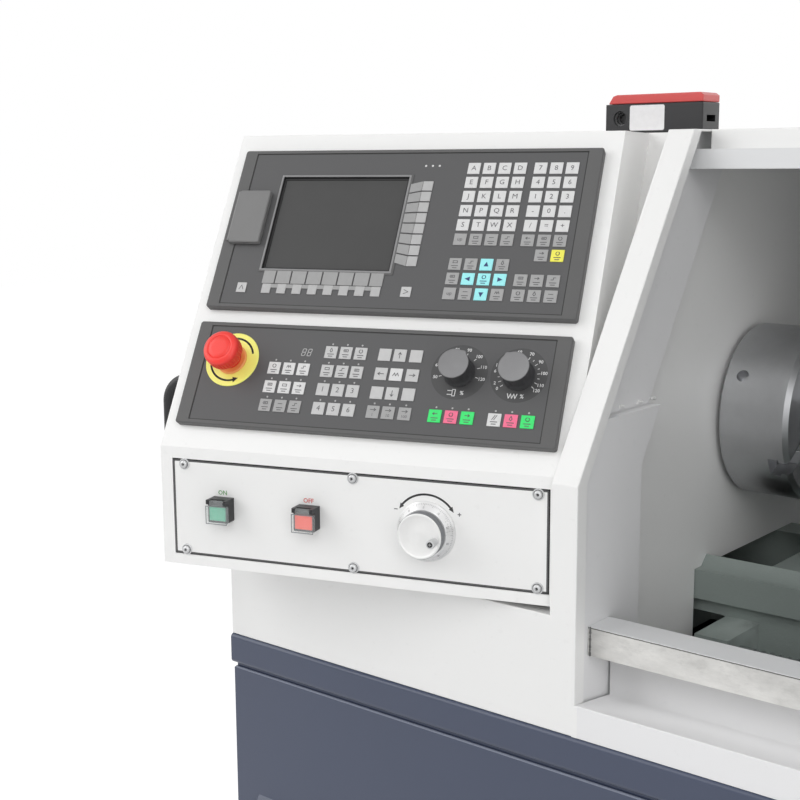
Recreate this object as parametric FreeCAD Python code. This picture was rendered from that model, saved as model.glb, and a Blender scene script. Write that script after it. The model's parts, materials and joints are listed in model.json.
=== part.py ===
import FreeCAD, Part
import math
import os

# CNC turning lathe: blue stand, white guarding, slanted operator console at the left.
# Millimetres. X runs along the spindle to the right, Y from the operator to the rear, Z up.
# Sizes are laid out from the stand's front left foot print corner and moved at the end so that
# the origin is the centre of the whole machine's footprint, on the floor.

# ---- driving dimensions -------------------------------------------------------------------

# guarding and stand
BODY_LENGTH = 1900.0
BODY_DEPTH = 880.0
SHEET = 2.5                  # guarding sheet
LEAN = 32.0                  # lean of the slanted front from upright, degrees
STAND_DECK = 780.0           # top plate of the stand, which carries bed and tray
TRAY_DEPTH = 107.0           # from the deck to the tray's rim, where the white guarding starts
FOLD_RISE = 249.0            # from there to where the upright front turns into the slanted one
SLANT_RISE = 334.0           # from there to the roof
APRON_HEIGHT = 117.5         # white sheet under the console
PORTAL_DEPTH = 122.0         # the door surround stands this far in front of the main front
POST_LEFT = 449.0
POST_WIDTH = 30.0
POST_RETURN = 16.5
OPENING_WIDTH = 700.0
SEAT = 0.3                   # clearance between pieces that lie against each other
GUARD_BOTTOM = STAND_DECK + TRAY_DEPTH
FOLD_HEIGHT = GUARD_BOTTOM + FOLD_RISE
ROOF_HEIGHT = FOLD_HEIGHT + SLANT_RISE
SLOPE = math.tan(math.radians(LEAN))
ROOF_FRONT = SLANT_RISE * SLOPE

# stand
STAND_INSET = 1.0            # its sheets stand this far behind the tray's rim line
STAND_BOTTOM = 45.0
STAND_TOP = STAND_DECK + 65.0
STAND_WALL = 3.0
DECK_THICKNESS = 6.0
BAY_DIVIDER_X = 620.0
LOUVRE_COUNT = 8
LOUVRE_PITCH = 30.0
LOUVRE_LENGTH = 190.0
LOUVRE_HEIGHT = 14.0
LOUVRE_DEPTH = 7.0
LOUVRE_LEFT = 38.0
LOUVRE_TOP = STAND_DECK - 86.0
BAY_DOORWAY = (150.0, BODY_DEPTH - 150.0, 78.0, STAND_DECK - 302.0)     # y and z limits, in the right end
FOOT_PAD_RADIUS = 38.0
FOOT_PAD_HEIGHT = 16.0
FOOT_BOLT_RADIUS = 10.0
FOOT_INSET = 80.0

# chip tray
TRAY_RIM_HEIGHT = 36.0
TRAY_RIM_WIDTH = 9.5
TRAY_OVERHANG = 2.5
TRAY_EDGE_RADIUS = 5.0
TRAY_SHEET = 3.0
BELT_SLOT = (30.0, 96.0, 340.0, 520.0)        # x from, x to, y from, y to, through deck and tray
BELT_COLLAR = 20.0

# spindle line
SPINDLE_Y = 430.0
CENTRE_HEIGHT = 170.0        # spindle line above the ways
SPINDLE_BORE = 26.0
SPINDLE_BODY = 35.0
SPINDLE_LEFT = 28.0
NOSE_RADIUS = 55.0
NOSE_RIGHT = 455.0
RUNNING_FIT = 0.05

# headstock
HEADSTOCK_LEFT = 110.0
HEADSTOCK_RIGHT = 395.0
HEADSTOCK_RADIUS = 138.0
HEADSTOCK_BOSS = 92.0
BEARING_RADIUS = 62.0
BEARING_WIDTH = 38.0
BED_TOP = STAND_DECK + 200.0
SPINDLE_HEIGHT = BED_TOP + CENTRE_HEIGHT

# belt drive and spindle motor
SPINDLE_PULLEY_RADIUS = 78.0
MOTOR_PULLEY_RADIUS = 52.0
PULLEY_LEFT = 38.0
PULLEY_WIDTH = 44.0
PULLEY_RIM = 3.0
BELT_THICKNESS = 7.0
MOTOR_HEIGHT = STAND_DECK - 260.0
MOTOR_RADIUS = 108.0
MOTOR_LENGTH = 330.0
MOTOR_SHAFT = 19.0
MOTOR_FLANGE = 16.0
MOTOR_FIN_COUNT = 24
MOTOR_FOOT_WIDTH = 240.0
MOTOR_FOOT_LENGTH = 220.0
MOTOR_FOOT_GAP = 12.0        # between the barrel and its foot plate
MOTOR_PLATE = 14.0
MOTOR_SETBACK = 34.0         # from the belt's plane to the motor's face
TERMINAL_BOX = 120.0

# chuck
CHUCK_RADIUS = 100.0
CHUCK_LENGTH = 82.0
CHUCK_BORE = 27.5
JAW_WIDTH = 22.0
JAW_STEM = 16.0
JAW_LENGTH = 66.0
JAW_REACH = 44.0
JAW_START = 14.0

# bed
BED_LEFT = 104.0
BED_RIGHT = 1600.0
BED_WIDTH = 262.0
BED_WALL = 46.0
BED_VEE_HEIGHT = 12.0
BED_VEE_OFFSET = 104.0       # from the spindle line to each way
WAY_GAP = 1.5 * SEAT          # upright gap that leaves the seating clearance on the vee's flanks
BED_WINDOW_COUNT = 7
BED_WINDOW_LENGTH = 150.0

# carriage, cross slide, turret
CARRIAGE_X = 880.0
CARRIAGE_LENGTH = 240.0
CARRIAGE_HEIGHT = 50.0
SLIDE_WIDTH = 150.0
SLIDE_HEIGHT = 46.0
SLIDE_FRONT = 150.0
SLIDE_LENGTH = 330.0
DOVETAIL = 12.0
TURRET_Y = 245.0
TURRET_BASE_SIZE = 150.0
TURRET_HEAD_SIZE = 156.0
TURRET_HEAD_HEIGHT = 82.0
TOOL_SHANK = 20.0
TOOL_LENGTH = 118.0
TOOL_REACH = 26.0

# feed screws and motors
Z_SCREW_RADIUS = 16.0
Z_SCREW_Y = 262.0
Z_SCREW_HEIGHT = STAND_DECK + 120.0
X_SCREW_RADIUS = 8.0
FEED_MOTOR_SIZE = 110.0
FEED_MOTOR_LENGTH = 150.0

# tailstock
TAILSTOCK_LEFT = 1400.0
TAILSTOCK_LENGTH = 160.0
TAILSTOCK_WIDTH = 150.0
BARREL_RADIUS = 46.0
QUILL_RADIUS = 27.5
QUILL_OVERHANG = 50.0
QUILL_BORE = 12.0

# door
DOOR_WIDTH = 740.0
DOOR_TRAVEL = 644.0
DOOR_SETBACK = 5.0           # behind the front sheets
DOOR_DEPTH = 18.0            # depth of its folded edges
DOOR_SHEET = 2.0
DOOR_BOTTOM = GUARD_BOTTOM + 43.0
DOOR_TOP = ROOF_HEIGHT - 6.0
WINDOW_WIDTH = 500.0
WINDOW_LOW = FOLD_HEIGHT + 29.0
WINDOW_HIGH = ROOF_HEIGHT - 55.0
WINDOW_THICKNESS = 6.0
WINDOW_LAP = 16.0
HANDLE_BAR = 9.0
HANDLE_STANDOFF = 42.0
HANDLE_LENGTH = 170.0
RAIL_FRONT = 26.5
RAIL_DEPTH = 37.5
RAIL_TOP = GUARD_BOTTOM + 105.0
RAIL_HEIGHT = 29.5
RAIL_WALL = 2.5
TOP_RAIL_SIZE = 20.0
TOP_RAIL_HEIGHT = ROOF_HEIGHT - 40.0
SILL_HEIGHT = GUARD_BOTTOM + 33.0
SILL_DROP = 9.0
SILL_DEPTH = 65.0

# jamb liner
LINER_LEDGE_HEIGHT = FOLD_HEIGHT + 57.0
LINER_STEP = 14.0

# door switch
SWITCH_LEFT = 291.5
SWITCH_LENGTH = 125.0
SWITCH_DEPTH = 40.0
SWITCH_FRONT = ROOF_FRONT + PORTAL_DEPTH + 14.3
SWITCH_HEIGHT = 33.0
SWITCH_LID = 10.5
SWITCH_ENTRY = 19.0
KEY_WIDTH = 16.0
KEY_THICKNESS = 3.0

# console
CONSOLE_YAW = 18.08          # turned towards the operator at the door
CONSOLE_X = 247.7            # middle of its fold line
CONSOLE_Y = -57.35
CONSOLE_FOLD = FOLD_HEIGHT + 4.0
CONSOLE_WIDTH = 452.0
CONSOLE_DROP = 129.5
CONSOLE_SLOPE = 389.0
CONSOLE_DEPTH = 232.0
CONSOLE_SHEET = 2.0
PANEL_SHIFT = -1.0           # panels sit this far right of the console's middle
PANEL_WIDTH = 420.0
PANEL_THICKNESS = 9.0
PANEL_CORNER = 3.0
UPPER_PANEL_LOW = 162.7
UPPER_PANEL_HEIGHT = 200.5
LOWER_PANEL_LOW = 24.9
LOWER_PANEL_HEIGHT = 120.0
FIELD_DEPTH = 0.8            # keypad field lies this far below the frame
FIELD_SIDE = 15.5
FIELD_EDGE = 4.5
KEY_SIZE = 13.6
KEY_RISE = 1.2
KEY_PITCH = 17.2

# console plate with the push buttons and the handwheel
PLATE_OPENING = (-211.9, 206.5, -118.0, -12.5)      # u from, u to, z from, z to
PLATE_GAP = 3.0
PLATE_SCREW_COLUMNS = (-197.0, -0.8, 194.7)
PLATE_SCREW_INSET = 2.7
PLATE_SCREW_RADIUS = 2.4
BUTTON_HOLE = 8.2
BUTTON_COLUMNS = (-150.0, -50.0)
BUTTON_ROW = -65.5
BUTTON_WIDTH = 23.4
BUTTON_HEIGHT = 20.0
BUTTON_BODY_RISE = 14.0
BUTTON_EAR = 2.4             # from the guard's hinge line to the ears' edges
LENS_WIDTH = 19.6
LENS_HEIGHT = 15.0
LENS_TRAVEL = 3.0
WHEEL_U = 79.4
WHEEL_Z = -65.9
WHEEL_HOLE = 11.2
WHEEL_RING_RADIUS = 31.0
WHEEL_RADIUS = 23.5
WHEEL_RISE = 22.4

# rotary switches and stop button on the lower panel
KNOB_COLUMNS = (97.5, 160.0)
KNOB_ROW = 100.2
KNOB_RADIUS = 16.0
KNOB_RISE = 31.0
STOP_U = -161.0
STOP_ROW = 100.6
STOP_DISC_RADIUS = 31.0
STOP_HEAD_RADIUS = 20.0
STOP_RISE = 42.0
STOP_STEM = 11.0
STOP_FLUTES = 30
STOP_TRAVEL = 4.5

# side handle of the console
GRIP_STANDOFF = 38.0
GRIP_BAR = 6.5
GRIP_LOW = -51.5             # from the console's fold line
GRIP_LENGTH = 112.0
GRIP_Y = 73.0

# electrical cabinet on the rear wall
CABINET = (640.0, 1260.0, STAND_DECK - 220.0, ROOF_HEIGHT - 50.0)      # x from, x to, z from, z to
CABINET_DEPTH = 225.0
CABINET_SHEET = 2.0
CABINET_DOOR_DEPTH = 20.0
CABINET_RIM = 22.0

# coolant tank in the right bay
TANK_LENGTH = 730.0
TANK_END_GAP = 30.0          # from the tank's pull end to the machine's right end
TANK_SIDE_GAP = 12.0         # between tank and doorway edges
TANK_LIFT = 34.0             # height of the skids
TANK_HEADROOM = 110.0        # from the tank's top to the doorway's top
TANK_LID = 4.0
PULL_WIDTH = 140.0
PULL_BAR = 6.0
PULL_REACH = 22.0
PUMP_RADIUS = 40.0
PUMP_HEIGHT = 160.0
PUMP_INSET = 110.0
PUMP_OFFSET = 120.0
SKID_WIDTH = 40.0

# travels of the moving pieces
JAW_IN = 6.0
JAW_OUT = 16.0
CARRIAGE_LEFT_TRAVEL = 140.0
CARRIAGE_RIGHT_TRAVEL = 300.0
SLIDE_FORWARD = 50.0
SLIDE_BACKWARD = 90.0
TAILSTOCK_LEFT_TRAVEL = 300.0
TAILSTOCK_RIGHT_TRAVEL = 30.0
QUILL_TRAVEL = 100.0
Z_SCREW_LEAD = 10.0
X_SCREW_LEAD = 5.0

# ---- derived values -----------------------------------------------------------------------

OPENING_LEFT = POST_LEFT + POST_WIDTH
OPENING_RIGHT = OPENING_LEFT + OPENING_WIDTH
APRON_TOP = GUARD_BOTTOM + APRON_HEIGHT
DOOR_LEFT = OPENING_LEFT + 2.0 + DOOR_TRAVEL
BED_BOTTOM = STAND_DECK + TRAY_SHEET
PULLEY_RIGHT = PULLEY_LEFT + PULLEY_WIDTH
TURRET_BASE_LOW = BED_TOP + CARRIAGE_HEIGHT + SLIDE_HEIGHT
TURRET_HEAD_LOW = SPINDLE_HEIGHT - TOOL_SHANK - 12.0
CHUCK_RIGHT = NOSE_RIGHT + CHUCK_LENGTH
CONSOLE_LEAN = 32.04
SLOPE_RUN = CONSOLE_SLOPE * math.sin(math.radians(CONSOLE_LEAN))
SLOPE_RISE = CONSOLE_SLOPE * math.cos(math.radians(CONSOLE_LEAN))
CABINET_BACK = BODY_DEPTH + CABINET_DEPTH


# ---- building blocks ----------------------------------------------------------------------

def vec(x, y, z):
    return FreeCAD.Vector(x, y, z)


def block(x, y, z):
    return Part.makeBox(x[1] - x[0], y[1] - y[0], z[1] - z[0], vec(x[0], y[0], z[0]))


def rod(start, direction, radius, length):
    return Part.makeCylinder(radius, length, vec(*start), vec(*direction))


def face_of(points):
    return Part.Face(Part.makePolygon(points + points[:1]))


def side_prism(outline, x):
    """Outline of (y, z) points, carried from x[0] to x[1]."""
    return face_of([vec(x[0], y, z) for y, z in outline]).extrude(vec(x[1] - x[0], 0, 0))


def front_prism(outline, y):
    """Outline of (x, z) points, carried from y[0] to y[1]."""
    return face_of([vec(x, y[0], z) for x, z in outline]).extrude(vec(0, y[1] - y[0], 0))


def plan_prism(outline, z):
    """Outline of (x, y) points, carried from z[0] to z[1]."""
    return face_of([vec(x, y, z[0]) for x, y in outline]).extrude(vec(0, 0, z[1] - z[0]))


def turned(profile, centre, axis):
    """Profile of (radius, height) points turned about an axis through centre."""
    shape = face_of([vec(r, 0, h) for r, h in profile]).revolve(vec(0, 0, 0), vec(0, 0, 1), 360)
    shape.Placement = FreeCAD.Placement(vec(*centre), FreeCAD.Rotation(vec(0, 0, 1), vec(*axis)))
    return shape


def rounded_plate(u, v, w, radius):
    """Plate with rounded corners; u, v and w are low and high limits."""
    plate = block(u, v, w)
    upright = [e for e in plate.Edges if abs(e.tangentAt(e.FirstParameter).z) > 0.99]
    return plate.makeFillet(radius, upright)


def joined(shapes):
    first = shapes[0]
    return first.fuse(list(shapes[1:])).removeSplitter() if len(shapes) > 1 else first


def group(shapes):
    return Part.makeCompound(shapes)


def front_line(back, z):
    """Depth of a sheet that follows the front at a distance back, at height z."""
    return back + max(0.0, z - FOLD_HEIGHT) * SLOPE


def front_skin(back, thickness, z):
    """Outline of a sheet of even thickness that follows the upright and slanted front."""
    slanted = thickness / math.cos(math.radians(LEAN))
    inner_fold = FOLD_HEIGHT - thickness * math.tan(math.radians(LEAN) / 2)
    return [(back, z[0]), (back, FOLD_HEIGHT), (front_line(back, z[1]), z[1]),
            (front_line(back, z[1]) + slanted, z[1]), (back + thickness, inner_fold),
            (back + thickness, z[0])]


def front_band(near, far, z):
    """Outline of a side wall between two lines that follow the front."""
    low, high = z
    outline = [(near, low), (near, FOLD_HEIGHT), (front_line(near, high), high)]
    outline += [(front_line(far, high), high), (far, FOLD_HEIGHT), (far, low)]
    if low >= FOLD_HEIGHT:
        outline = [(front_line(near, low), low), (front_line(near, high), high),
                   (front_line(far, high), high), (front_line(far, low), low)]
    if high <= FOLD_HEIGHT:
        outline = [(near, low), (near, high), (far, high), (far, low)]
    return outline


def on_console(shape, leaning):
    """Put a piece laid out flat (u, v, height) on the console's slope or on its upright face."""
    tilt = 90.0 - CONSOLE_LEAN if leaning else 90.0
    flat = FreeCAD.Placement(vec(0, 0, 0), FreeCAD.Rotation(vec(1, 0, 0), tilt))
    stand = FreeCAD.Placement(vec(CONSOLE_X, CONSOLE_Y, CONSOLE_FOLD),
                              FreeCAD.Rotation(vec(0, 0, 1), CONSOLE_YAW))
    placed = shape.copy()
    placed.Placement = stand.multiply(flat).multiply(shape.Placement)
    return placed


def turned_console(shape):
    """Put a piece laid out in the console's own upright frame on the machine."""
    placed = shape.copy()
    stand = FreeCAD.Placement(vec(CONSOLE_X, CONSOLE_Y, CONSOLE_FOLD),
                              FreeCAD.Rotation(vec(0, 0, 1), CONSOLE_YAW))
    placed.Placement = stand.multiply(shape.Placement)
    return placed


# ---- stand --------------------------------------------------------------------------------

def louvre(bottom):
    """A pressed louvre: a hood closed at the top and ends, open downwards."""
    right = LOUVRE_LEFT + LOUVRE_LENGTH
    top = bottom + LOUVRE_HEIGHT
    face = STAND_INSET
    back = face + STAND_WALL
    hood = side_prism([(back - 0.5, bottom), (face - LOUVRE_DEPTH, bottom),
                       (face - LOUVRE_DEPTH, bottom + 3.0),
                       (back - 0.5, top + 2.0)], (LOUVRE_LEFT, right))
    hollow = side_prism([(back + 1.0, bottom - 0.5), (face + 2.0 - LOUVRE_DEPTH, bottom - 0.5),
                         (face + 2.0 - LOUVRE_DEPTH, bottom + 2.0), (back + 1.0, top - 1.0)],
                        (LOUVRE_LEFT + 2.0, right - 2.0))
    return hood, hollow


def base_cabinet():
    """Welded stand: deck, divider, two bays, louvres in front of the motor bay."""
    outer = block((0, BODY_LENGTH), (STAND_INSET, BODY_DEPTH - STAND_INSET), (STAND_BOTTOM, STAND_TOP))
    inside = (STAND_WALL, BODY_LENGTH - STAND_WALL)
    across = (STAND_INSET + STAND_WALL, BODY_DEPTH - STAND_INSET - STAND_WALL)
    pocket = block(inside, across, (STAND_DECK, STAND_TOP + 1.0))
    bay_height = (STAND_BOTTOM + STAND_WALL, STAND_DECK - DECK_THICKNESS)
    left_bay = block((STAND_WALL, BAY_DIVIDER_X), across, bay_height)
    right_bay = block((BAY_DIVIDER_X + STAND_WALL, inside[1]), across, bay_height)
    y0, y1, z0, z1 = BAY_DOORWAY
    doorway = block((inside[1] - 1.0, BODY_LENGTH + 1.0), (y0, y1), (z0, z1))
    slot = block(BELT_SLOT[:2], BELT_SLOT[2:], (STAND_DECK - DECK_THICKNESS - 1.0, STAND_DECK + 1.0))
    hoods = []
    hollows = []
    for row in range(LOUVRE_COUNT):
        hood, hollow = louvre(LOUVRE_TOP - LOUVRE_HEIGHT - row * LOUVRE_PITCH)
        hoods.append(hood)
        hollows.append(hollow)
    return joined([outer] + hoods).cut([pocket, left_bay, right_bay, doorway, slot] + hollows)


def levelling_feet():
    """Six round pads with their bolts, under the stand."""
    feet = []
    pad = [(0, 0), (FOOT_PAD_RADIUS, 0), (FOOT_PAD_RADIUS, FOOT_PAD_HEIGHT * 0.5),
           (FOOT_BOLT_RADIUS, FOOT_PAD_HEIGHT), (FOOT_BOLT_RADIUS, STAND_BOTTOM - 10.0),
           (FOOT_BOLT_RADIUS * 1.7, STAND_BOTTOM - 10.0), (FOOT_BOLT_RADIUS * 1.7, STAND_BOTTOM),
           (0, STAND_BOTTOM)]
    for x in (FOOT_INSET, BODY_LENGTH / 2, BODY_LENGTH - FOOT_INSET):
        for y in (FOOT_INSET, BODY_DEPTH - FOOT_INSET):
            feet.append(turned(pad, (x, y, 0), (0, 0, 1)))
    return group(feet)


def chip_tray():
    """Pan that lies in the stand, with a rolled rim that shows as a band round the machine."""
    rim_low = GUARD_BOTTOM - TRAY_RIM_HEIGHT
    rim = block((0, BODY_LENGTH), (-TRAY_OVERHANG, BODY_DEPTH), (rim_low, GUARD_BOTTOM))
    front_edges = [e for e in rim.Edges if e.BoundBox.YMax < 0 and e.BoundBox.XLength > 1.0]
    rim = rim.makeFillet(TRAY_EDGE_RADIUS, front_edges)
    pan_x = (STAND_WALL + SEAT, BODY_LENGTH - STAND_WALL - SEAT)
    pan_y = (STAND_INSET + STAND_WALL + SEAT, BODY_DEPTH - STAND_INSET - STAND_WALL - SEAT)
    pan = block(pan_x, pan_y, (STAND_DECK, rim_low))
    hollow = block((TRAY_RIM_WIDTH, BODY_LENGTH - TRAY_RIM_WIDTH),
                   (TRAY_RIM_WIDTH - TRAY_OVERHANG, BODY_DEPTH - TRAY_RIM_WIDTH),
                   (STAND_DECK + TRAY_SHEET, GUARD_BOTTOM + 1.0))
    x0, x1, y0, y1 = BELT_SLOT
    wall = TRAY_SHEET
    collar = block((x0 - wall, x1 + wall), (y0 - wall, y1 + wall), (STAND_DECK, STAND_DECK + BELT_COLLAR))
    slot = block((x0, x1), (y0, y1), (STAND_DECK - 1.0, STAND_DECK + BELT_COLLAR + 1.0))
    return joined([rim, pan]).cut(hollow).fuse(collar).cut(slot)


# ---- bed, headstock, spindle --------------------------------------------------------------

def way_outline(low, high, spread, clearance):
    """Outline across the bed's top: a vee way at the front and a flat way at the rear."""
    vee = SPINDLE_Y - BED_VEE_OFFSET
    rise = BED_VEE_HEIGHT + clearance
    return [(SPINDLE_Y - spread, low), (SPINDLE_Y - spread, high), (vee - rise, high),
            (vee, high + rise), (vee + rise, high), (SPINDLE_Y + spread, high), (SPINDLE_Y + spread, low)]


def bed():
    """Cast bed: two ribbed walls, vee and flat ways, bearing brackets of the long feed screw."""
    half = BED_WIDTH / 2
    length = BED_RIGHT - BED_LEFT
    casting = side_prism(way_outline(BED_BOTTOM, BED_TOP, half, 0.0), (BED_LEFT, BED_RIGHT))
    pitch = (length - BED_WALL) / BED_WINDOW_COUNT
    cuts = []
    for index in range(BED_WINDOW_COUNT):
        start = BED_LEFT + BED_WALL / 2 + index * pitch + (pitch - BED_WINDOW_LENGTH) / 2
        run = (start, start + BED_WINDOW_LENGTH)
        cuts.append(block(run, (SPINDLE_Y - half + BED_WALL, SPINDLE_Y + half - BED_WALL),
                          (BED_BOTTOM + 24.0, BED_TOP + BED_VEE_HEIGHT)))
        window = rounded_plate((run[0] + 12, run[1] - 12), (BED_BOTTOM + 40.0, BED_TOP - 50.0),
                               (-BED_WIDTH, BED_WIDTH), 24.0)
        window.Placement = FreeCAD.Placement(vec(0, SPINDLE_Y, 0), FreeCAD.Rotation(vec(1, 0, 0), 90))
        cuts.append(window)
    waist = (BED_BOTTOM + 30.0, BED_TOP - 34.0)
    for side in (-1, 1):
        face = SPINDLE_Y + side * half
        cuts.append(block((BED_LEFT - 1.0, BED_RIGHT + 1.0), sorted((face, face - side * 9.0)), waist))
    body = casting.cut(cuts)
    brackets = []
    for x in (NOSE_RIGHT + 30.0, BED_RIGHT - 60.0):
        plate = block((x, x + 40.0), (Z_SCREW_Y - 30.0, SPINDLE_Y - half + BED_WALL),
                      (Z_SCREW_HEIGHT - 34.0, Z_SCREW_HEIGHT + 30.0))
        hole = rod((x - 1.0, Z_SCREW_Y, Z_SCREW_HEIGHT), (1, 0, 0), Z_SCREW_RADIUS + RUNNING_FIT, 42.0)
        brackets.append(plate.cut(hole))
    return joined([body] + brackets)


def headstock():
    """Cast headstock with a rounded top, end bosses and the spindle's bearing seats."""
    radius = HEADSTOCK_RADIUS
    centre = vec(HEADSTOCK_LEFT, SPINDLE_Y, SPINDLE_HEIGHT)
    foot = BED_TOP + SEAT
    half = BED_WIDTH / 2
    low_left = vec(HEADSTOCK_LEFT, SPINDLE_Y - half, foot)
    low_right = vec(HEADSTOCK_LEFT, SPINDLE_Y + half, foot)
    waist = SPINDLE_HEIGHT - 40.0
    shoulder_left = vec(HEADSTOCK_LEFT, SPINDLE_Y - half, waist)
    shoulder_right = vec(HEADSTOCK_LEFT, SPINDLE_Y + half, waist)
    left = vec(HEADSTOCK_LEFT, SPINDLE_Y - radius * 0.8, SPINDLE_HEIGHT + radius * 0.6)
    right = vec(HEADSTOCK_LEFT, SPINDLE_Y + radius * 0.8, SPINDLE_HEIGHT + radius * 0.6)
    crown = Part.Arc(left, centre + vec(0, 0, radius), right).toShape()
    edges = [Part.makeLine(low_left, shoulder_left), Part.makeLine(shoulder_left, left), crown,
             Part.makeLine(right, shoulder_right), Part.makeLine(shoulder_right, low_right),
             Part.makeLine(low_right, low_left)]
    casting = Part.Face(Part.Wire(edges)).extrude(vec(HEADSTOCK_RIGHT - HEADSTOCK_LEFT, 0, 0))
    front_boss = rod((HEADSTOCK_RIGHT, SPINDLE_Y, SPINDLE_HEIGHT), (1, 0, 0), HEADSTOCK_BOSS, 10.0)
    ribs = []
    for index in range(3):
        x = HEADSTOCK_LEFT + 60.0 + index * 76.0
        ribs.append(block((x, x + 12.0), (SPINDLE_Y - half - 10.0, SPINDLE_Y - half), (foot, waist)))
    groove = side_prism(way_outline(foot - 30.0, BED_TOP, half + 20.0, WAY_GAP),
                        (HEADSTOCK_LEFT - 1.0, HEADSTOCK_RIGHT + 1.0))
    bore = rod((HEADSTOCK_LEFT - 1.0, SPINDLE_Y, SPINDLE_HEIGHT), (1, 0, 0), SPINDLE_BODY + 9.0, 400.0)
    seats = []
    for x in bearing_places():
        seats.append(rod((x, SPINDLE_Y, SPINDLE_HEIGHT), (1, 0, 0), BEARING_RADIUS, BEARING_WIDTH))
    return joined([casting, front_boss] + ribs).cut([groove, bore] + seats)


def bearing_places():
    """Left faces of the rear and front spindle bearings, flush with the casting's ends."""
    return (HEADSTOCK_LEFT, HEADSTOCK_RIGHT + 10.0 - BEARING_WIDTH)


def spindle_bearings():
    rings = []
    inner = SPINDLE_BODY + RUNNING_FIT
    for x in bearing_places():
        ring = [(inner, 0), (BEARING_RADIUS, 0), (BEARING_RADIUS, BEARING_WIDTH), (inner, BEARING_WIDTH)]
        rings.append(turned(ring, (x, SPINDLE_Y, SPINDLE_HEIGHT), (1, 0, 0)))
    return group(rings)


def grooved_pulley(inner, radius, start):
    """Profile of a ribbed belt pulley with rims: (radius, place along the axis)."""
    end = start + PULLEY_WIDTH
    profile = [(inner, start), (radius + PULLEY_RIM, start), (radius + PULLEY_RIM, start + 3.0)]
    ribs = 3
    pitch = (PULLEY_WIDTH - 6.0) / ribs
    for rib in range(ribs):
        low = start + 3.0 + rib * pitch
        profile += [(radius, low), (radius - 3.0, low + pitch / 2)]
    profile += [(radius, end - 3.0), (radius + PULLEY_RIM, end - 3.0), (radius + PULLEY_RIM, end),
                (inner, end)]
    return profile


def spindle():
    """Hollow spindle with its nose, its collar and its belt pulley at the rear end."""
    start = SPINDLE_LEFT
    pulley = grooved_pulley(SPINDLE_BODY, SPINDLE_PULLEY_RADIUS, PULLEY_LEFT - start)
    nose = HEADSTOCK_RIGHT + 10.0 + SEAT * 4 - start
    end = NOSE_RIGHT - start
    profile = [(SPINDLE_BORE, 0), (SPINDLE_BODY, 0)] + pulley
    profile += [(SPINDLE_BODY, nose), (NOSE_RADIUS, nose), (NOSE_RADIUS, end), (SPINDLE_BORE, end)]
    return turned(profile, (start, SPINDLE_Y, SPINDLE_HEIGHT), (1, 0, 0))


def chuck_body():
    """Three-jaw chuck: bevelled body with bore, jaw slots and key sockets."""
    profile = [(CHUCK_BORE, 0), (CHUCK_RADIUS - 3.0, 0), (CHUCK_RADIUS, 3.0),
               (CHUCK_RADIUS, CHUCK_LENGTH - 5.0),
               (CHUCK_RADIUS - 5.0, CHUCK_LENGTH), (CHUCK_BORE, CHUCK_LENGTH)]
    body = turned(profile, (NOSE_RIGHT, SPINDLE_Y, SPINDLE_HEIGHT), (1, 0, 0))
    axis = vec(1, 0, 0)
    centre = vec(NOSE_RIGHT, SPINDLE_Y, SPINDLE_HEIGHT)
    cuts = []
    for index in range(3):
        slot = joined(jaw_guide(SEAT, (CHUCK_BORE - 20.0, CHUCK_RADIUS + 2.0)))
        slot.rotate(centre, axis, 120.0 * index)
        cuts.append(slot)
        socket = rod((NOSE_RIGHT + 22.0, SPINDLE_Y, SPINDLE_HEIGHT + CHUCK_RADIUS - 16.0), (0, 0, 1), 7.0,
                     20.0)
        socket.rotate(centre, axis, 120.0 * index + 60.0)
        cuts.append(socket)
    return body.cut(cuts)


def jaw_guide(clearance, span):
    """Guide part of a jaw, pointing straight up from the spindle line: web and wider tongue."""
    low = SPINDLE_HEIGHT + span[0]
    high = SPINDLE_HEIGHT + span[1]
    half = JAW_STEM / 2 + clearance
    wide = JAW_WIDTH / 2 + clearance
    front = CHUCK_RIGHT + 1.0
    web = block((CHUCK_RIGHT - 24.0, front), (SPINDLE_Y - half, SPINDLE_Y + half), (low, high))
    tongue = block((CHUCK_RIGHT - 24.0 - clearance, CHUCK_RIGHT - 12.0 + clearance),
                   (SPINDLE_Y - wide, SPINDLE_Y + wide), (low, high))
    return [web, tongue]


def chuck_jaw(index):
    """Stepped jaw in its slot, turned to its place round the spindle."""
    guide = joined(jaw_guide(0.0, (JAW_START, JAW_START + JAW_LENGTH)))
    low = SPINDLE_HEIGHT + JAW_START
    face = CHUCK_RIGHT + 0.6
    steps = [(face, low + JAW_LENGTH), (face + JAW_REACH * 0.36, low + JAW_LENGTH),
             (face + JAW_REACH * 0.36, low + JAW_LENGTH * 0.66),
             (face + JAW_REACH * 0.68, low + JAW_LENGTH * 0.66),
             (face + JAW_REACH * 0.68, low + JAW_LENGTH * 0.34), (face + JAW_REACH, low + JAW_LENGTH * 0.34),
             (face + JAW_REACH, low + 6.0), (face + JAW_REACH - 6.0, low), (face, low)]
    step = front_prism(steps, (SPINDLE_Y - JAW_WIDTH / 2, SPINDLE_Y + JAW_WIDTH / 2))
    jaw = joined([guide, step])
    jaw.rotate(vec(NOSE_RIGHT, SPINDLE_Y, SPINDLE_HEIGHT), vec(1, 0, 0), 120.0 * index)
    return jaw


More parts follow.
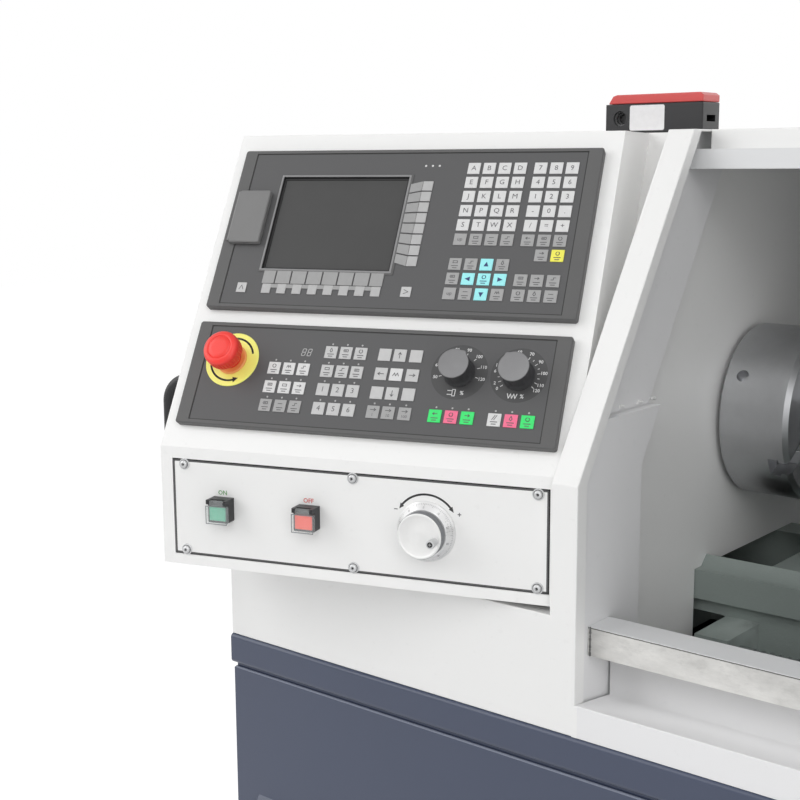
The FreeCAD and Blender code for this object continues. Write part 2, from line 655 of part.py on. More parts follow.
def loop(big, small, gap, rise):
    """Outline face round two pulleys, in the plane X = 0: big on top, small below, rise apart."""
    lean = math.asin((big - small) / rise)
    c, s = math.cos(lean), math.sin(lean)
    top = vec(0, 0, rise)
    r1 = big + gap
    r2 = small + gap
    a = top + vec(0, -r1 * c, -r1 * s)
    b = top + vec(0, r1 * c, -r1 * s)
    d = vec(0, r2 * c, -r2 * s)
    e = vec(0, -r2 * c, -r2 * s)
    edges = [Part.Arc(a, top + vec(0, 0, r1), b).toShape(), Part.makeLine(b, d),
             Part.Arc(d, vec(0, 0, -r2), e).toShape(), Part.makeLine(e, a)]
    return Part.Face(Part.Wire(edges))


def drive_belt():
    """Ribbed belt from the motor's pulley up to the spindle's."""
    rise = SPINDLE_HEIGHT - MOTOR_HEIGHT
    outer = loop(SPINDLE_PULLEY_RADIUS, MOTOR_PULLEY_RADIUS, BELT_THICKNESS, rise)
    inner = loop(SPINDLE_PULLEY_RADIUS, MOTOR_PULLEY_RADIUS, SEAT, rise)
    width = PULLEY_WIDTH - 8.0
    belt = outer.extrude(vec(width, 0, 0)).cut(inner.extrude(vec(width, 0, 0)))
    belt.translate(vec(PULLEY_LEFT + 4.0, SPINDLE_Y, MOTOR_HEIGHT))
    return belt


def spindle_motor():
    """Finned motor in the left bay, on a foot plate that stands on the bay's floor."""
    start = PULLEY_RIGHT + MOTOR_SETBACK
    flange = MOTOR_FLANGE
    shell = MOTOR_RADIUS - 10.0
    shaft = MOTOR_SHAFT + RUNNING_FIT
    cap = MOTOR_LENGTH + 14.0
    barrel = turned([(shaft, 0), (MOTOR_RADIUS, 0), (MOTOR_RADIUS, flange), (shell, flange),
                     (shell, MOTOR_LENGTH),
                     (shell - 10.0, cap), (0, cap), (0, MOTOR_SHAFT * 3.2), (shaft, MOTOR_SHAFT * 3.2)],
                    (start, SPINDLE_Y, MOTOR_HEIGHT), (1, 0, 0))
    fins = []
    for index in range(MOTOR_FIN_COUNT):
        fin = block((start + flange, start + MOTOR_LENGTH - 60.0), (SPINDLE_Y - 1.5, SPINDLE_Y + 1.5),
                    (MOTOR_HEIGHT + shell - 2.0, MOTOR_HEIGHT + MOTOR_RADIUS))
        fin.rotate(vec(start, SPINDLE_Y, MOTOR_HEIGHT), vec(1, 0, 0), 360.0 / MOTOR_FIN_COUNT * index)
        fins.append(fin)
    half = MOTOR_FOOT_WIDTH / 2
    foot = (start + 30.0, start + 30.0 + MOTOR_FOOT_LENGTH)
    foot_low = MOTOR_HEIGHT - MOTOR_RADIUS - MOTOR_FOOT_GAP
    foot_top = foot_low + MOTOR_PLATE
    plate = block(foot, (SPINDLE_Y - half, SPINDLE_Y + half), (foot_low, foot_top))
    saddle = block((foot[0] + 10.0, foot[1] - 10.0), (SPINDLE_Y - half / 2, SPINDLE_Y + half / 2),
                   (foot_top, MOTOR_HEIGHT - shell + 20.0))
    legs = []
    for x in (foot[0], foot[1] - MOTOR_PLATE):
        legs.append(block((x, x + MOTOR_PLATE), (SPINDLE_Y - half, SPINDLE_Y + half),
                          (STAND_BOTTOM + STAND_WALL, foot_low)))
    box_left = start + MOTOR_LENGTH / 2 - TERMINAL_BOX * 0.625
    terminal_box = rounded_plate((box_left, box_left + TERMINAL_BOX),
                                 (SPINDLE_Y - TERMINAL_BOX * 0.375, SPINDLE_Y + TERMINAL_BOX * 0.375),
                                 (MOTOR_HEIGHT + shell - 6.0, MOTOR_HEIGHT + MOTOR_RADIUS + 46.0), 8.0)
    return joined([barrel, saddle, plate, terminal_box] + fins + legs)


def motor_pulley():
    """Small ribbed pulley on the motor's shaft."""
    start = PULLEY_LEFT
    shaft_end = PULLEY_WIDTH + MOTOR_SETBACK + MOTOR_SHAFT * 2.6
    profile = grooved_pulley(0.0, MOTOR_PULLEY_RADIUS, 0.0)
    profile[-1] = (MOTOR_SHAFT, PULLEY_WIDTH)
    profile += [(MOTOR_SHAFT, shaft_end), (0, shaft_end)]
    return turned(profile, (start, SPINDLE_Y, MOTOR_HEIGHT), (1, 0, 0))


# ---- carriage -----------------------------------------------------------------------------

def saddle():
    """Carriage on the bed: vee groove underneath, dovetail on top, nut apron and motor bracket."""
    left = CARRIAGE_X - CARRIAGE_LENGTH / 2
    right = CARRIAGE_X + CARRIAGE_LENGTH / 2
    half = BED_WIDTH / 2 + 16.0
    base = block((left, right), (SPINDLE_Y - half, SPINDLE_Y + half),
                 (BED_TOP + SEAT, BED_TOP + CARRIAGE_HEIGHT - DOVETAIL))
    groove = side_prism(way_outline(BED_TOP - 30.0, BED_TOP, half + 20.0, WAY_GAP), (left - 1.0, right + 1.0))
    top = BED_TOP + CARRIAGE_HEIGHT
    narrow = SLIDE_WIDTH / 2 - 30.0
    wide = narrow + DOVETAIL * 0.6
    rail = front_prism([(CARRIAGE_X - narrow, top - DOVETAIL), (CARRIAGE_X - wide, top),
                        (CARRIAGE_X + wide, top), (CARRIAGE_X + narrow, top - DOVETAIL)],
                       (SPINDLE_Y - half, SPINDLE_Y + half))
    screw_y = SPINDLE_Y - half
    channel = block((CARRIAGE_X - X_SCREW_RADIUS - 8.0, CARRIAGE_X + X_SCREW_RADIUS + 8.0),
                    (SPINDLE_Y - half + 20.0, SPINDLE_Y + half - 14.0), (top - 34.0, top + 1.0))
    bearing = rod((CARRIAGE_X, SPINDLE_Y + half - 20.0, x_screw_height()), (0, 1, 0),
                  X_SCREW_RADIUS + RUNNING_FIT, 60.0)
    apron = block((CARRIAGE_X - 60.0, CARRIAGE_X + 60.0), (Z_SCREW_Y - 34.0, SPINDLE_Y - BED_WIDTH / 2 - 4.0),
                  (Z_SCREW_HEIGHT - 36.0, BED_TOP + CARRIAGE_HEIGHT - DOVETAIL))
    shelf = block((CARRIAGE_X - 60.0, CARRIAGE_X + 60.0), (Z_SCREW_Y - 34.0, screw_y + 10.0),
                  (BED_TOP + SEAT, BED_TOP + CARRIAGE_HEIGHT - DOVETAIL))
    nut = rod((CARRIAGE_X - 70.0, Z_SCREW_Y, Z_SCREW_HEIGHT), (1, 0, 0), Z_SCREW_RADIUS + 14.0, 140.0)
    nut_bore = rod((CARRIAGE_X - 90.0, Z_SCREW_Y, Z_SCREW_HEIGHT), (1, 0, 0), Z_SCREW_RADIUS + RUNNING_FIT,
                   180.0)
    return joined([base.cut(groove), rail, apron, shelf, nut]).cut([channel, bearing, nut_bore])


def x_screw_height():
    return BED_TOP + CARRIAGE_HEIGHT - 18.0


def cross_slide():
    """Slide with a dovetail slot underneath and its nut on the cross feed screw."""
    low = BED_TOP + CARRIAGE_HEIGHT - DOVETAIL + SEAT * 2
    high = BED_TOP + CARRIAGE_HEIGHT + SLIDE_HEIGHT
    half = SLIDE_WIDTH / 2
    y = (SLIDE_FRONT, SLIDE_FRONT + SLIDE_LENGTH)
    slide = block((CARRIAGE_X - half, CARRIAGE_X + half), y, (low, high))
    narrow = SLIDE_WIDTH / 2 - 30.0 + SEAT * 2
    wide = narrow + DOVETAIL * 0.6
    slot = front_prism([(CARRIAGE_X - narrow, low - 1.0),
                        (CARRIAGE_X - narrow, BED_TOP + CARRIAGE_HEIGHT - DOVETAIL),
                        (CARRIAGE_X - wide, BED_TOP + CARRIAGE_HEIGHT + SEAT),
                        (CARRIAGE_X + wide, BED_TOP + CARRIAGE_HEIGHT + SEAT),
                        (CARRIAGE_X + narrow, BED_TOP + CARRIAGE_HEIGHT - DOVETAIL),
                        (CARRIAGE_X + narrow, low - 1.0)],
                       (y[0] - 1.0, y[1] + 1.0))
    tee_slots = []
    for x in (CARRIAGE_X - 50.0, CARRIAGE_X + 50.0):
        tee_slots.append(block((x - 5.0, x + 5.0), (TURRET_Y + TURRET_BASE_SIZE / 2 + 4.0, y[1] + 1.0),
                               (high - 12.0, high + 1.0)))
        tee_slots.append(block((x - 9.0, x + 9.0), (TURRET_Y + TURRET_BASE_SIZE / 2 + 4.0, y[1] + 1.0),
                               (high - 20.0, high - 12.0)))
    nut_y = SPINDLE_Y - 60.0
    nut = block((CARRIAGE_X - X_SCREW_RADIUS - 7.0, CARRIAGE_X + X_SCREW_RADIUS + 7.0), (nut_y, nut_y + 44.0),
                (x_screw_height() - X_SCREW_RADIUS - 7.0, BED_TOP + CARRIAGE_HEIGHT + 2.0))
    bore = rod((CARRIAGE_X, nut_y - 1.0, x_screw_height()), (0, 1, 0), X_SCREW_RADIUS + RUNNING_FIT, 46.0)
    return joined([slide.cut([slot] + tee_slots), nut.cut(bore)])


def turret_base():
    """Housing of the indexing turret, bolted on the cross slide."""
    half = TURRET_BASE_SIZE / 2
    low = TURRET_BASE_LOW
    body = rounded_plate((CARRIAGE_X - half, CARRIAGE_X + half), (TURRET_Y - half, TURRET_Y + half),
                         (low, TURRET_HEAD_LOW - 14.0), 14.0)
    collar = rod((CARRIAGE_X, TURRET_Y, TURRET_HEAD_LOW - 14.0), (0, 0, 1), half - 8.0, 14.0 - SEAT)
    return joined([body, collar])


def turret_head():
    """Four-way head with tool slots, square-headed clamping screws and a tool in each slot."""
    half = TURRET_HEAD_SIZE / 2
    low = TURRET_HEAD_LOW
    high = low + TURRET_HEAD_HEIGHT
    centre = vec(CARRIAGE_X, TURRET_Y, low)
    head = block((CARRIAGE_X - half, CARRIAGE_X + half), (TURRET_Y - half, TURRET_Y + half), (low, high))
    corners = [e for e in head.Edges if abs(e.tangentAt(e.FirstParameter).z) > 0.99]
    head = head.makeChamfer(10.0, corners)
    cap = turned([(0, 0), (40.0, 0), (40.0, 8.0), (30.0, 18.0), (0, 18.0)], (CARRIAGE_X, TURRET_Y, high),
                 (0, 0, 1))
    slot_low = SPINDLE_HEIGHT - TOOL_SHANK
    cuts = []
    added = [cap]
    for quarter in range(4):
        slot = block((CARRIAGE_X - half - 1.0, CARRIAGE_X + half + 1.0),
                     (TURRET_Y - half - 1.0, TURRET_Y - half + TOOL_SHANK + 3.0),
                     (slot_low, slot_low + TOOL_SHANK + 14.0))
        slot.rotate(centre, vec(0, 0, 1), 90.0 * quarter)
        cuts.append(slot)
        tool = cutting_tool(half, slot_low)
        tool.rotate(centre, vec(0, 0, 1), 90.0 * quarter)
        added.append(tool)
        for step in (-38.0, 0.0, 38.0):
            screw = block((CARRIAGE_X + step - 5.0, CARRIAGE_X + step + 5.0),
                          (TURRET_Y - half + 6.0, TURRET_Y - half + 16.0),
                          (slot_low + TOOL_SHANK, high + 12.0))
            screw.rotate(centre, vec(0, 0, 1), 90.0 * quarter)
            added.append(screw)
    return joined([head.cut(cuts)] + added)


def cutting_tool(half, low):
    """Square-shank turning tool that points out of the head's left corner."""
    left = CARRIAGE_X - half - TOOL_REACH
    front = TURRET_Y - half
    outline = [(left, front), (left + 8.0, front - 4.0), (left + 26.0, front + 1.0),
               (left + TOOL_LENGTH, front + 1.0),
               (left + TOOL_LENGTH, front + TOOL_SHANK), (left + 22.0, front + TOOL_SHANK),
               (left + 8.0, front + 12.0)]
    return plan_prism(outline, (low, low + TOOL_SHANK))


def feed_screw(start, direction, radius, length, neck):
    """Feed screw with a turned-down end at its motor."""
    profile = [(0, 0), (radius - 1.0, 0), (radius, 1.0), (radius, length - neck),
               (radius * 0.7, length - neck),
               (radius * 0.7, length), (0, length)]
    return turned(profile, start, direction)


def z_screw():
    start = NOSE_RIGHT + 24.0
    return feed_screw((start, Z_SCREW_Y, Z_SCREW_HEIGHT), (1, 0, 0), Z_SCREW_RADIUS, BED_RIGHT + 36.0 - start,
                      30.0)


def x_screw():
    start = SPINDLE_Y - BED_WIDTH / 2 + 10.0
    return feed_screw((CARRIAGE_X, start, x_screw_height()), (0, 1, 0), X_SCREW_RADIUS,
                      SPINDLE_Y + BED_WIDTH / 2 + 46.0 - start, 20.0)


def feed_motor(hollow):
    """Square feed motor along Z, with its flange at the bottom and a socket for the screw's end."""
    half = FEED_MOTOR_SIZE / 2
    flange = rounded_plate((-half, half), (-half, half), (0, 12.0), 10.0)
    body = rounded_plate((-half + 5.0, half - 5.0), (-half + 5.0, half - 5.0), (12.0, FEED_MOTOR_LENGTH),
                         14.0)
    cap = rounded_plate((-half + 12.0, half - 12.0), (-half + 12.0, half - 12.0),
                        (FEED_MOTOR_LENGTH, FEED_MOTOR_LENGTH + 26.0), 14.0)
    plug = block((-14.0, 14.0), (half - 5.0, half + 14.0),
                 (FEED_MOTOR_LENGTH - 40.0, FEED_MOTOR_LENGTH - 12.0))
    socket = rod((0, 0, -1.0), (0, 0, 1), hollow, 40.0)
    return joined([flange, body, cap, plug]).cut(socket)


def z_motor():
    """Long feed motor on its bracket at the bed's right end."""
    motor = feed_motor(Z_SCREW_RADIUS + 2.0)
    motor.Placement = FreeCAD.Placement(vec(BED_RIGHT + 22.0, Z_SCREW_Y, Z_SCREW_HEIGHT),
                                        FreeCAD.Rotation(vec(0, 0, 1), vec(1, 0, 0)))
    half = FEED_MOTOR_SIZE / 2
    bracket = block((BED_RIGHT + SEAT, BED_RIGHT + 22.0), (Z_SCREW_Y - half, SPINDLE_Y + 20.0),
                    (Z_SCREW_HEIGHT - half, Z_SCREW_HEIGHT + half))
    passage = rod((BED_RIGHT - 1.0, Z_SCREW_Y, Z_SCREW_HEIGHT), (1, 0, 0), Z_SCREW_RADIUS + 2.0, 40.0)
    return joined([motor, bracket.cut(passage)])


def x_motor():
    """Cross feed motor behind the carriage."""
    motor = feed_motor(X_SCREW_RADIUS + 2.0)
    motor.Placement = FreeCAD.Placement(vec(CARRIAGE_X, SPINDLE_Y + BED_WIDTH / 2 + 16.0 + SEAT,
                                            x_screw_height()),
                                        FreeCAD.Rotation(vec(0, 0, 1), vec(0, 1, 0)))
    return motor


# ---- tailstock ----------------------------------------------------------------------------

def tailstock_body():
    """Tailstock casting: broad foot on the ways, waisted web, round barrel."""
    half = TAILSTOCK_WIDTH / 2
    foot = BED_TOP + SEAT
    left = TAILSTOCK_LEFT
    right = left + TAILSTOCK_LENGTH
    spread = BED_WIDTH / 2
    sole = block((left, right), (SPINDLE_Y - spread, SPINDLE_Y + spread), (foot, foot + 34.0))
    groove = side_prism(way_outline(BED_TOP - 30.0, BED_TOP, spread + 20.0, WAY_GAP),
                        (left - 1.0, right + 1.0))
    web = side_prism([(SPINDLE_Y - half, foot + 34.0), (SPINDLE_Y - BARREL_RADIUS * 0.8, SPINDLE_HEIGHT),
                      (SPINDLE_Y + BARREL_RADIUS * 0.8, SPINDLE_HEIGHT), (SPINDLE_Y + half, foot + 34.0)],
                     (left + 14.0, right - 14.0))
    barrel = rod((left, SPINDLE_Y, SPINDLE_HEIGHT), (1, 0, 0), BARREL_RADIUS, TAILSTOCK_LENGTH)
    cap = rod((right, SPINDLE_Y, SPINDLE_HEIGHT), (1, 0, 0), BARREL_RADIUS - 8.0, 18.0)
    bore = rod((left - 1.0, SPINDLE_Y, SPINDLE_HEIGHT), (1, 0, 0), QUILL_RADIUS + RUNNING_FIT,
               TAILSTOCK_LENGTH + 1.0)
    nuts = []
    for x in (left + 36.0, right - 36.0):
        nuts.append(rod((x, SPINDLE_Y - spread + 26.0, foot + 34.0), (0, 0, 1), 12.0, 14.0))
    return joined([sole.cut(groove), web, barrel, cap] + nuts).cut(bore)


def tailstock_quill():
    """Quill with the seat for a centre in its end."""
    length = TAILSTOCK_LENGTH + QUILL_OVERHANG - 12.0
    profile = [(QUILL_BORE, 0), (QUILL_RADIUS - 2.0, 0), (QUILL_RADIUS, 2.0), (QUILL_RADIUS, length),
               (0, length),
               (0, 90.0), (QUILL_BORE * 0.72, 90.0)]
    return turned(profile, (TAILSTOCK_LEFT - QUILL_OVERHANG, SPINDLE_Y, SPINDLE_HEIGHT), (1, 0, 0))


# ---- guarding -----------------------------------------------------------------------------

def headstock_hood():
    """Left guarding: cover over the headstock, apron under the console and the door post."""
    profile = [(0, GUARD_BOTTOM), (0, APRON_TOP), (PORTAL_DEPTH, APRON_TOP), (PORTAL_DEPTH, FOLD_HEIGHT),
               (front_line(PORTAL_DEPTH, ROOF_HEIGHT), ROOF_HEIGHT), (BODY_DEPTH, ROOF_HEIGHT),
               (BODY_DEPTH, GUARD_BOTTOM)]
    outer = side_prism(profile, (0, POST_LEFT))
    t = SHEET
    inner_fold = FOLD_HEIGHT - t * math.tan(math.radians(LEAN) / 2)
    inner_roof = ROOF_HEIGHT - t
    slanted = t / math.cos(math.radians(LEAN))
    inner = [(t, GUARD_BOTTOM - 1.0), (t, APRON_TOP - t), (PORTAL_DEPTH + t, APRON_TOP - t),
             (PORTAL_DEPTH + t, inner_fold),
             (front_line(PORTAL_DEPTH, inner_roof) + slanted, inner_roof), (BODY_DEPTH - t, inner_roof),
             (BODY_DEPTH - t, GUARD_BOTTOM - 1.0)]
    hollow = side_prism(inner, (t, POST_LEFT - t))
    spindle_hole = rod((POST_LEFT - 10.0, SPINDLE_Y, SPINDLE_HEIGHT), (1, 0, 0), NOSE_RADIUS + 8.0, 20.0)
    bar_passage = rod((-1.0, SPINDLE_Y, SPINDLE_HEIGHT), (1, 0, 0), SPINDLE_BODY, 10.0)
    bed_notch = side_prism(way_outline(GUARD_BOTTOM - 1.0, BED_TOP + SEAT, BED_WIDTH / 2 + SEAT * 4, SEAT),
                           (POST_LEFT - 10.0, POST_LEFT + 1.0))
    shell = outer.cut([hollow, spindle_hole, bar_passage, bed_notch])
    return joined([shell, door_post(POST_LEFT, POST_LEFT + POST_WIDTH)])


def door_post(left, right):
    """Portal post: front face, deep outer return, shallow return at the opening, top cap."""
    span = (GUARD_BOTTOM, ROOF_HEIGHT)
    face = side_prism(front_skin(0.0, SHEET, span), (left, right))
    deep = side_prism(front_band(0.0, PORTAL_DEPTH + SHEET, span), (left, left + SHEET))
    near = side_prism(front_band(0.0, POST_RETURN, span), (right - SHEET, right))
    cap = block((left, right), (ROOF_FRONT, ROOF_FRONT + PORTAL_DEPTH), (ROOF_HEIGHT - SHEET, ROOF_HEIGHT))
    return joined([face, deep, near, cap])


def jamb_liner():
    """Folded liner of the post's inner side: lower part stands proud with a ledge on top."""
    outer = OPENING_LEFT - SHEET
    lower = side_prism(front_band(3.0, PORTAL_DEPTH + 1.0, (GUARD_BOTTOM, LINER_LEDGE_HEIGHT)),
                       (outer - SHEET, outer))
    high = ROOF_HEIGHT - SHEET - SEAT
    upper = side_prism(front_band(POST_RETURN + 1.0, PORTAL_DEPTH + 1.0, (LINER_LEDGE_HEIGHT - SHEET, high)),
                       (outer - LINER_STEP - SHEET, outer - LINER_STEP))
    ledge = side_prism(front_band(POST_RETURN + 1.0, PORTAL_DEPTH + 1.0,
                                  (LINER_LEDGE_HEIGHT - SHEET, LINER_LEDGE_HEIGHT)),
                       (outer - LINER_STEP - SHEET, outer))
    hem = side_prism(front_band(PORTAL_DEPTH - SHEET, PORTAL_DEPTH, (GUARD_BOTTOM, high)),
                     (POST_LEFT + SHEET + SEAT, outer - LINER_STEP - SHEET + 0.5))
    foot = block((outer - LINER_STEP - SHEET, outer), (PORTAL_DEPTH - SHEET, PORTAL_DEPTH),
                 (GUARD_BOTTOM, LINER_LEDGE_HEIGHT - SHEET))
    return joined([lower, upper, ledge, hem, foot])


def tail_hood():
    """Right guarding: front sheet with the door's pocket behind it, roof and right end wall."""
    t = SHEET
    left = OPENING_RIGHT
    span = (GUARD_BOTTOM, ROOF_HEIGHT)
    front = side_prism(front_skin(0.0, t, span), (left, BODY_LENGTH))
    roof = block((left, BODY_LENGTH), (ROOF_FRONT, BODY_DEPTH), (ROOF_HEIGHT - t, ROOF_HEIGHT))
    end = [(0, GUARD_BOTTOM), (0, FOLD_HEIGHT), (ROOF_FRONT, ROOF_HEIGHT), (BODY_DEPTH, ROOF_HEIGHT),
           (BODY_DEPTH, GUARD_BOTTOM)]
    end_wall = side_prism(end, (BODY_LENGTH - t, BODY_LENGTH))
    hem = side_prism(front_band(0.0, DOOR_SETBACK - 1.0, (GUARD_BOTTOM, ROOF_HEIGHT - t)), (left, left + t))
    gutter = block((left, left + t), (TOP_RAIL_BACK + 4.0, BODY_DEPTH - t - SEAT),
                   (ROOF_HEIGHT - 26.0, ROOF_HEIGHT))
    return joined([front, roof, end_wall, hem, gutter])


def rear_guard():
    """Roof over the opening and the rear wall, folded from sheet."""
    t = SHEET
    left = POST_LEFT + SEAT
    roof_y = (TOP_RAIL_BACK + SEAT, BODY_DEPTH)
    roof = block((left + POST_WIDTH, OPENING_RIGHT - SEAT), roof_y, (ROOF_HEIGHT - t, ROOF_HEIGHT))
    side_roof = block((left, left + POST_WIDTH + 1.0), (ROOF_FRONT + PORTAL_DEPTH + t + SEAT, BODY_DEPTH),
                      (ROOF_HEIGHT - t, ROOF_HEIGHT))
    lip = block((left + POST_WIDTH, OPENING_RIGHT - SEAT), (roof_y[0], roof_y[0] + t),
                (ROOF_HEIGHT - 26.0, ROOF_HEIGHT))
    wall = block((left, OPENING_RIGHT - SEAT), (BODY_DEPTH - t, BODY_DEPTH), (GUARD_BOTTOM, ROOF_HEIGHT))
    rest = block((OPENING_RIGHT - 1.0, BODY_LENGTH - t - SEAT), (BODY_DEPTH - t, BODY_DEPTH),
                 (GUARD_BOTTOM, ROOF_HEIGHT - t - SEAT))
    gutters = []
    for index in range(3):
        x = left + 180.0 + index * 180.0
        gutters.append(block((x, x + 3.0), (roof_y[0] + t, BODY_DEPTH - t),
                             (ROOF_HEIGHT - 22.0, ROOF_HEIGHT - t)))
    return joined([roof, side_roof, lip, wall, rest] + gutters)


def sill_channel():
    """Folded sheet under the opening: outer apron, sunk floor and inner upstand."""
    t = SHEET
    drop = SILL_HEIGHT - SILL_DROP
    outline = [(0, GUARD_BOTTOM), (0, SILL_HEIGHT), (SILL_DEPTH, drop), (SILL_DEPTH, RAIL_TOP - 1.0),
               (SILL_DEPTH + t, RAIL_TOP - 1.0), (SILL_DEPTH + t, drop - t), (t, SILL_HEIGHT - t),
               (t, GUARD_BOTTOM)]
    return side_prism(outline, (OPENING_LEFT + SEAT, OPENING_RIGHT - SEAT))


TOP_RAIL_FRONT = front_line(DOOR_SETBACK + DOOR_DEPTH, TOP_RAIL_HEIGHT + TOP_RAIL_SIZE) + 4.5
TOP_RAIL_BACK = TOP_RAIL_FRONT + TOP_RAIL_SIZE


def square_tube(x, y, z, wall):
    return block(x, y, z).cut(block((x[0] - 1.0, x[1] + 1.0), (y[0] + wall, y[1] - wall),
                                    (z[0] + wall, z[1] - wall)))


def door_rails():
    """Lower tube that the door slides on and the small guide tube under the roof."""
    right = BODY_LENGTH - SHEET - SEAT
    lower = square_tube((OPENING_LEFT - SHEET + SEAT, right), (RAIL_FRONT, RAIL_FRONT + RAIL_DEPTH),
                        (RAIL_TOP - RAIL_HEIGHT, RAIL_TOP), RAIL_WALL)
    upper = square_tube((OPENING_LEFT - SHEET - LINER_STEP + SEAT, right), (TOP_RAIL_FRONT, TOP_RAIL_BACK),
                        (TOP_RAIL_HEIGHT, TOP_RAIL_HEIGHT + TOP_RAIL_SIZE), RAIL_WALL)
    return group([lower, upper])


# ---- door ---------------------------------------------------------------------------------

def door_leaf():
    """Folded door leaf with a window cut-out and the bracket of the safety key."""
    t = DOOR_SHEET
    left, right = DOOR_LEFT, DOOR_LEFT + DOOR_WIDTH
    span = (DOOR_BOTTOM, DOOR_TOP)
    near = DOOR_SETBACK
    far = near + DOOR_DEPTH
    skin = side_prism(front_skin(near, t, span), (left, right))
    sides = [side_prism(front_band(near, far, span), (x, x + t)) for x in (left, right - t)]
    sill = block((left, right), (near, far), (DOOR_BOTTOM, DOOR_BOTTOM + t))
    head = side_prism(front_band(near, far, (DOOR_TOP - t, DOOR_TOP)), (left, right))
    x0 = left + (DOOR_WIDTH - WINDOW_WIDTH) / 2
    window = block((x0, x0 + WINDOW_WIDTH), (-50.0, BODY_DEPTH / 2), (WINDOW_LOW, WINDOW_HIGH))
    stiffener = side_prism(front_band(near + t, far, (WINDOW_LOW - 24.0, WINDOW_LOW - 22.0)),
                           (left + 1.0, right - 1.0))
    return joined([skin, sill, head, stiffener] + sides + key_bracket()).cut(window)


def key_bracket():
    """Bracket over the door's top edge that carries the switch's key to the left."""
    x = (DOOR_LEFT + 6.0, DOOR_LEFT + 36.0)
    key_y = SWITCH_FRONT + SWITCH_DEPTH / 2
    low = ROOF_HEIGHT + 14.0
    front = front_line(DOOR_SETBACK, DOOR_TOP) + 8.0
    leg = block(x, (front, front + 3.0), (DOOR_TOP - 1.0, low + KEY_THICKNESS))
    arm = block(x, (front, key_y + KEY_WIDTH / 2), (low, low + KEY_THICKNESS))
    reach = SWITCH_LEFT + SWITCH_LENGTH - 22.0 + DOOR_TRAVEL
    tongue = block((reach, x[1]), (key_y - KEY_WIDTH / 2, key_y + KEY_WIDTH / 2), (low, low + KEY_THICKNESS))
    return [leg, arm, tongue]


def door_window():
    """Clear pane behind the leaf's cut-out."""
    near = DOOR_SETBACK + DOOR_SHEET / math.cos(math.radians(LEAN)) + SEAT
    far = near + WINDOW_THICKNESS
    x0 = DOOR_LEFT + (DOOR_WIDTH - WINDOW_WIDTH) / 2 - WINDOW_LAP
    x1 = x0 + WINDOW_WIDTH + 2 * WINDOW_LAP
    return side_prism(front_band(near, far, (WINDOW_LOW - WINDOW_LAP, WINDOW_HIGH + WINDOW_LAP)), (x0, x1))


def bow(reach, length, radius, bend):
    """Round-bar bow handle in the plane X = 0: feet at y = 0, bar at y = -reach."""
    half = length / 2
    points = [vec(0, 0, -half), vec(0, -reach + bend, -half), vec(0, -reach, -half + bend),
              vec(0, -reach, half - bend), vec(0, -reach + bend, half), vec(0, 0, half)]
    low_mid = vec(0, -reach + bend * (1 - math.sqrt(0.5)), -half + bend * (1 - math.sqrt(0.5)))
    high_mid = vec(0, -reach + bend * (1 - math.sqrt(0.5)), half - bend * (1 - math.sqrt(0.5)))
    path = Part.Wire([Part.makeLine(points[0], points[1]), Part.Arc(points[1], low_mid, points[2]).toShape(),
                      Part.makeLine(points[2], points[3]), Part.Arc(points[3], high_mid, points[4]).toShape(),
                      Part.makeLine(points[4], points[5])])
    ring = Part.Wire(Part.makeCircle(radius, points[0], vec(0, 1, 0)))
    return path.makePipeShell([ring], True, False)


def door_handle():
    """Bow handle on the leaf's upright part, near its leading edge."""
    middle = (SILL_HEIGHT + FOLD_HEIGHT) / 2 + 10.0
    grip = bow(HANDLE_STANDOFF, HANDLE_LENGTH, HANDLE_BAR, 20.0)
    pads = [rod((0, -3.0, side * HANDLE_LENGTH / 2), (0, 1, 0), HANDLE_BAR + 5.0, 3.0) for side in (-1, 1)]
    handle = joined([grip] + pads)
    handle.translate(vec(DOOR_LEFT + 27.0, DOOR_SETBACK - SEAT, middle))
    return handle


def door_glides():
    """Nylon glides: two that sit on the lower tube and two that face the upper tube."""
    back = DOOR_SETBACK + DOOR_DEPTH
    glides = []
    top_back = front_line(back, TOP_RAIL_HEIGHT + TOP_RAIL_SIZE)
    for x in (DOOR_LEFT + 60.0, DOOR_LEFT + DOOR_WIDTH - 120.0):
        inner = back - 12.0
        outline = [(inner, RAIL_TOP - 24.0), (inner, RAIL_TOP + 12.0), (RAIL_FRONT + 22.0, RAIL_TOP + 12.0),
                   (RAIL_FRONT + 22.0, RAIL_TOP + SEAT), (RAIL_FRONT - SEAT, RAIL_TOP + SEAT),
                   (RAIL_FRONT - SEAT, RAIL_TOP - 24.0)]
        foot = block((x, x + 60.0), (DOOR_SETBACK + DOOR_SHEET + SEAT, inner + 1.0),
                     (RAIL_TOP - 24.0, RAIL_TOP + 12.0))
        glides.append(joined([side_prism(outline, (x, x + 60.0)), foot]))
        upper = [(top_back - 14.0, TOP_RAIL_HEIGHT + 2.0), (top_back - 14.0, TOP_RAIL_HEIGHT + TOP_RAIL_SIZE),
                 (TOP_RAIL_FRONT - SEAT, TOP_RAIL_HEIGHT + TOP_RAIL_SIZE),
                 (TOP_RAIL_FRONT - SEAT, TOP_RAIL_HEIGHT + 2.0)]
        stem_low = TOP_RAIL_HEIGHT + 2.0
        stem = [(front_line(DOOR_SETBACK + DOOR_SHEET / math.cos(math.radians(LEAN)) + SEAT, stem_low),
                 stem_low),
                (front_line(DOOR_SETBACK + DOOR_SHEET / math.cos(math.radians(LEAN)) + SEAT, stem_low + 18.0),
                 stem_low + 18.0),
                (top_back - 13.0, stem_low + 18.0), (top_back - 13.0, stem_low)]
        glides.append(joined([side_prism(upper, (x, x + 60.0)), side_prism(stem, (x, x + 60.0))]))
    return group(glides)


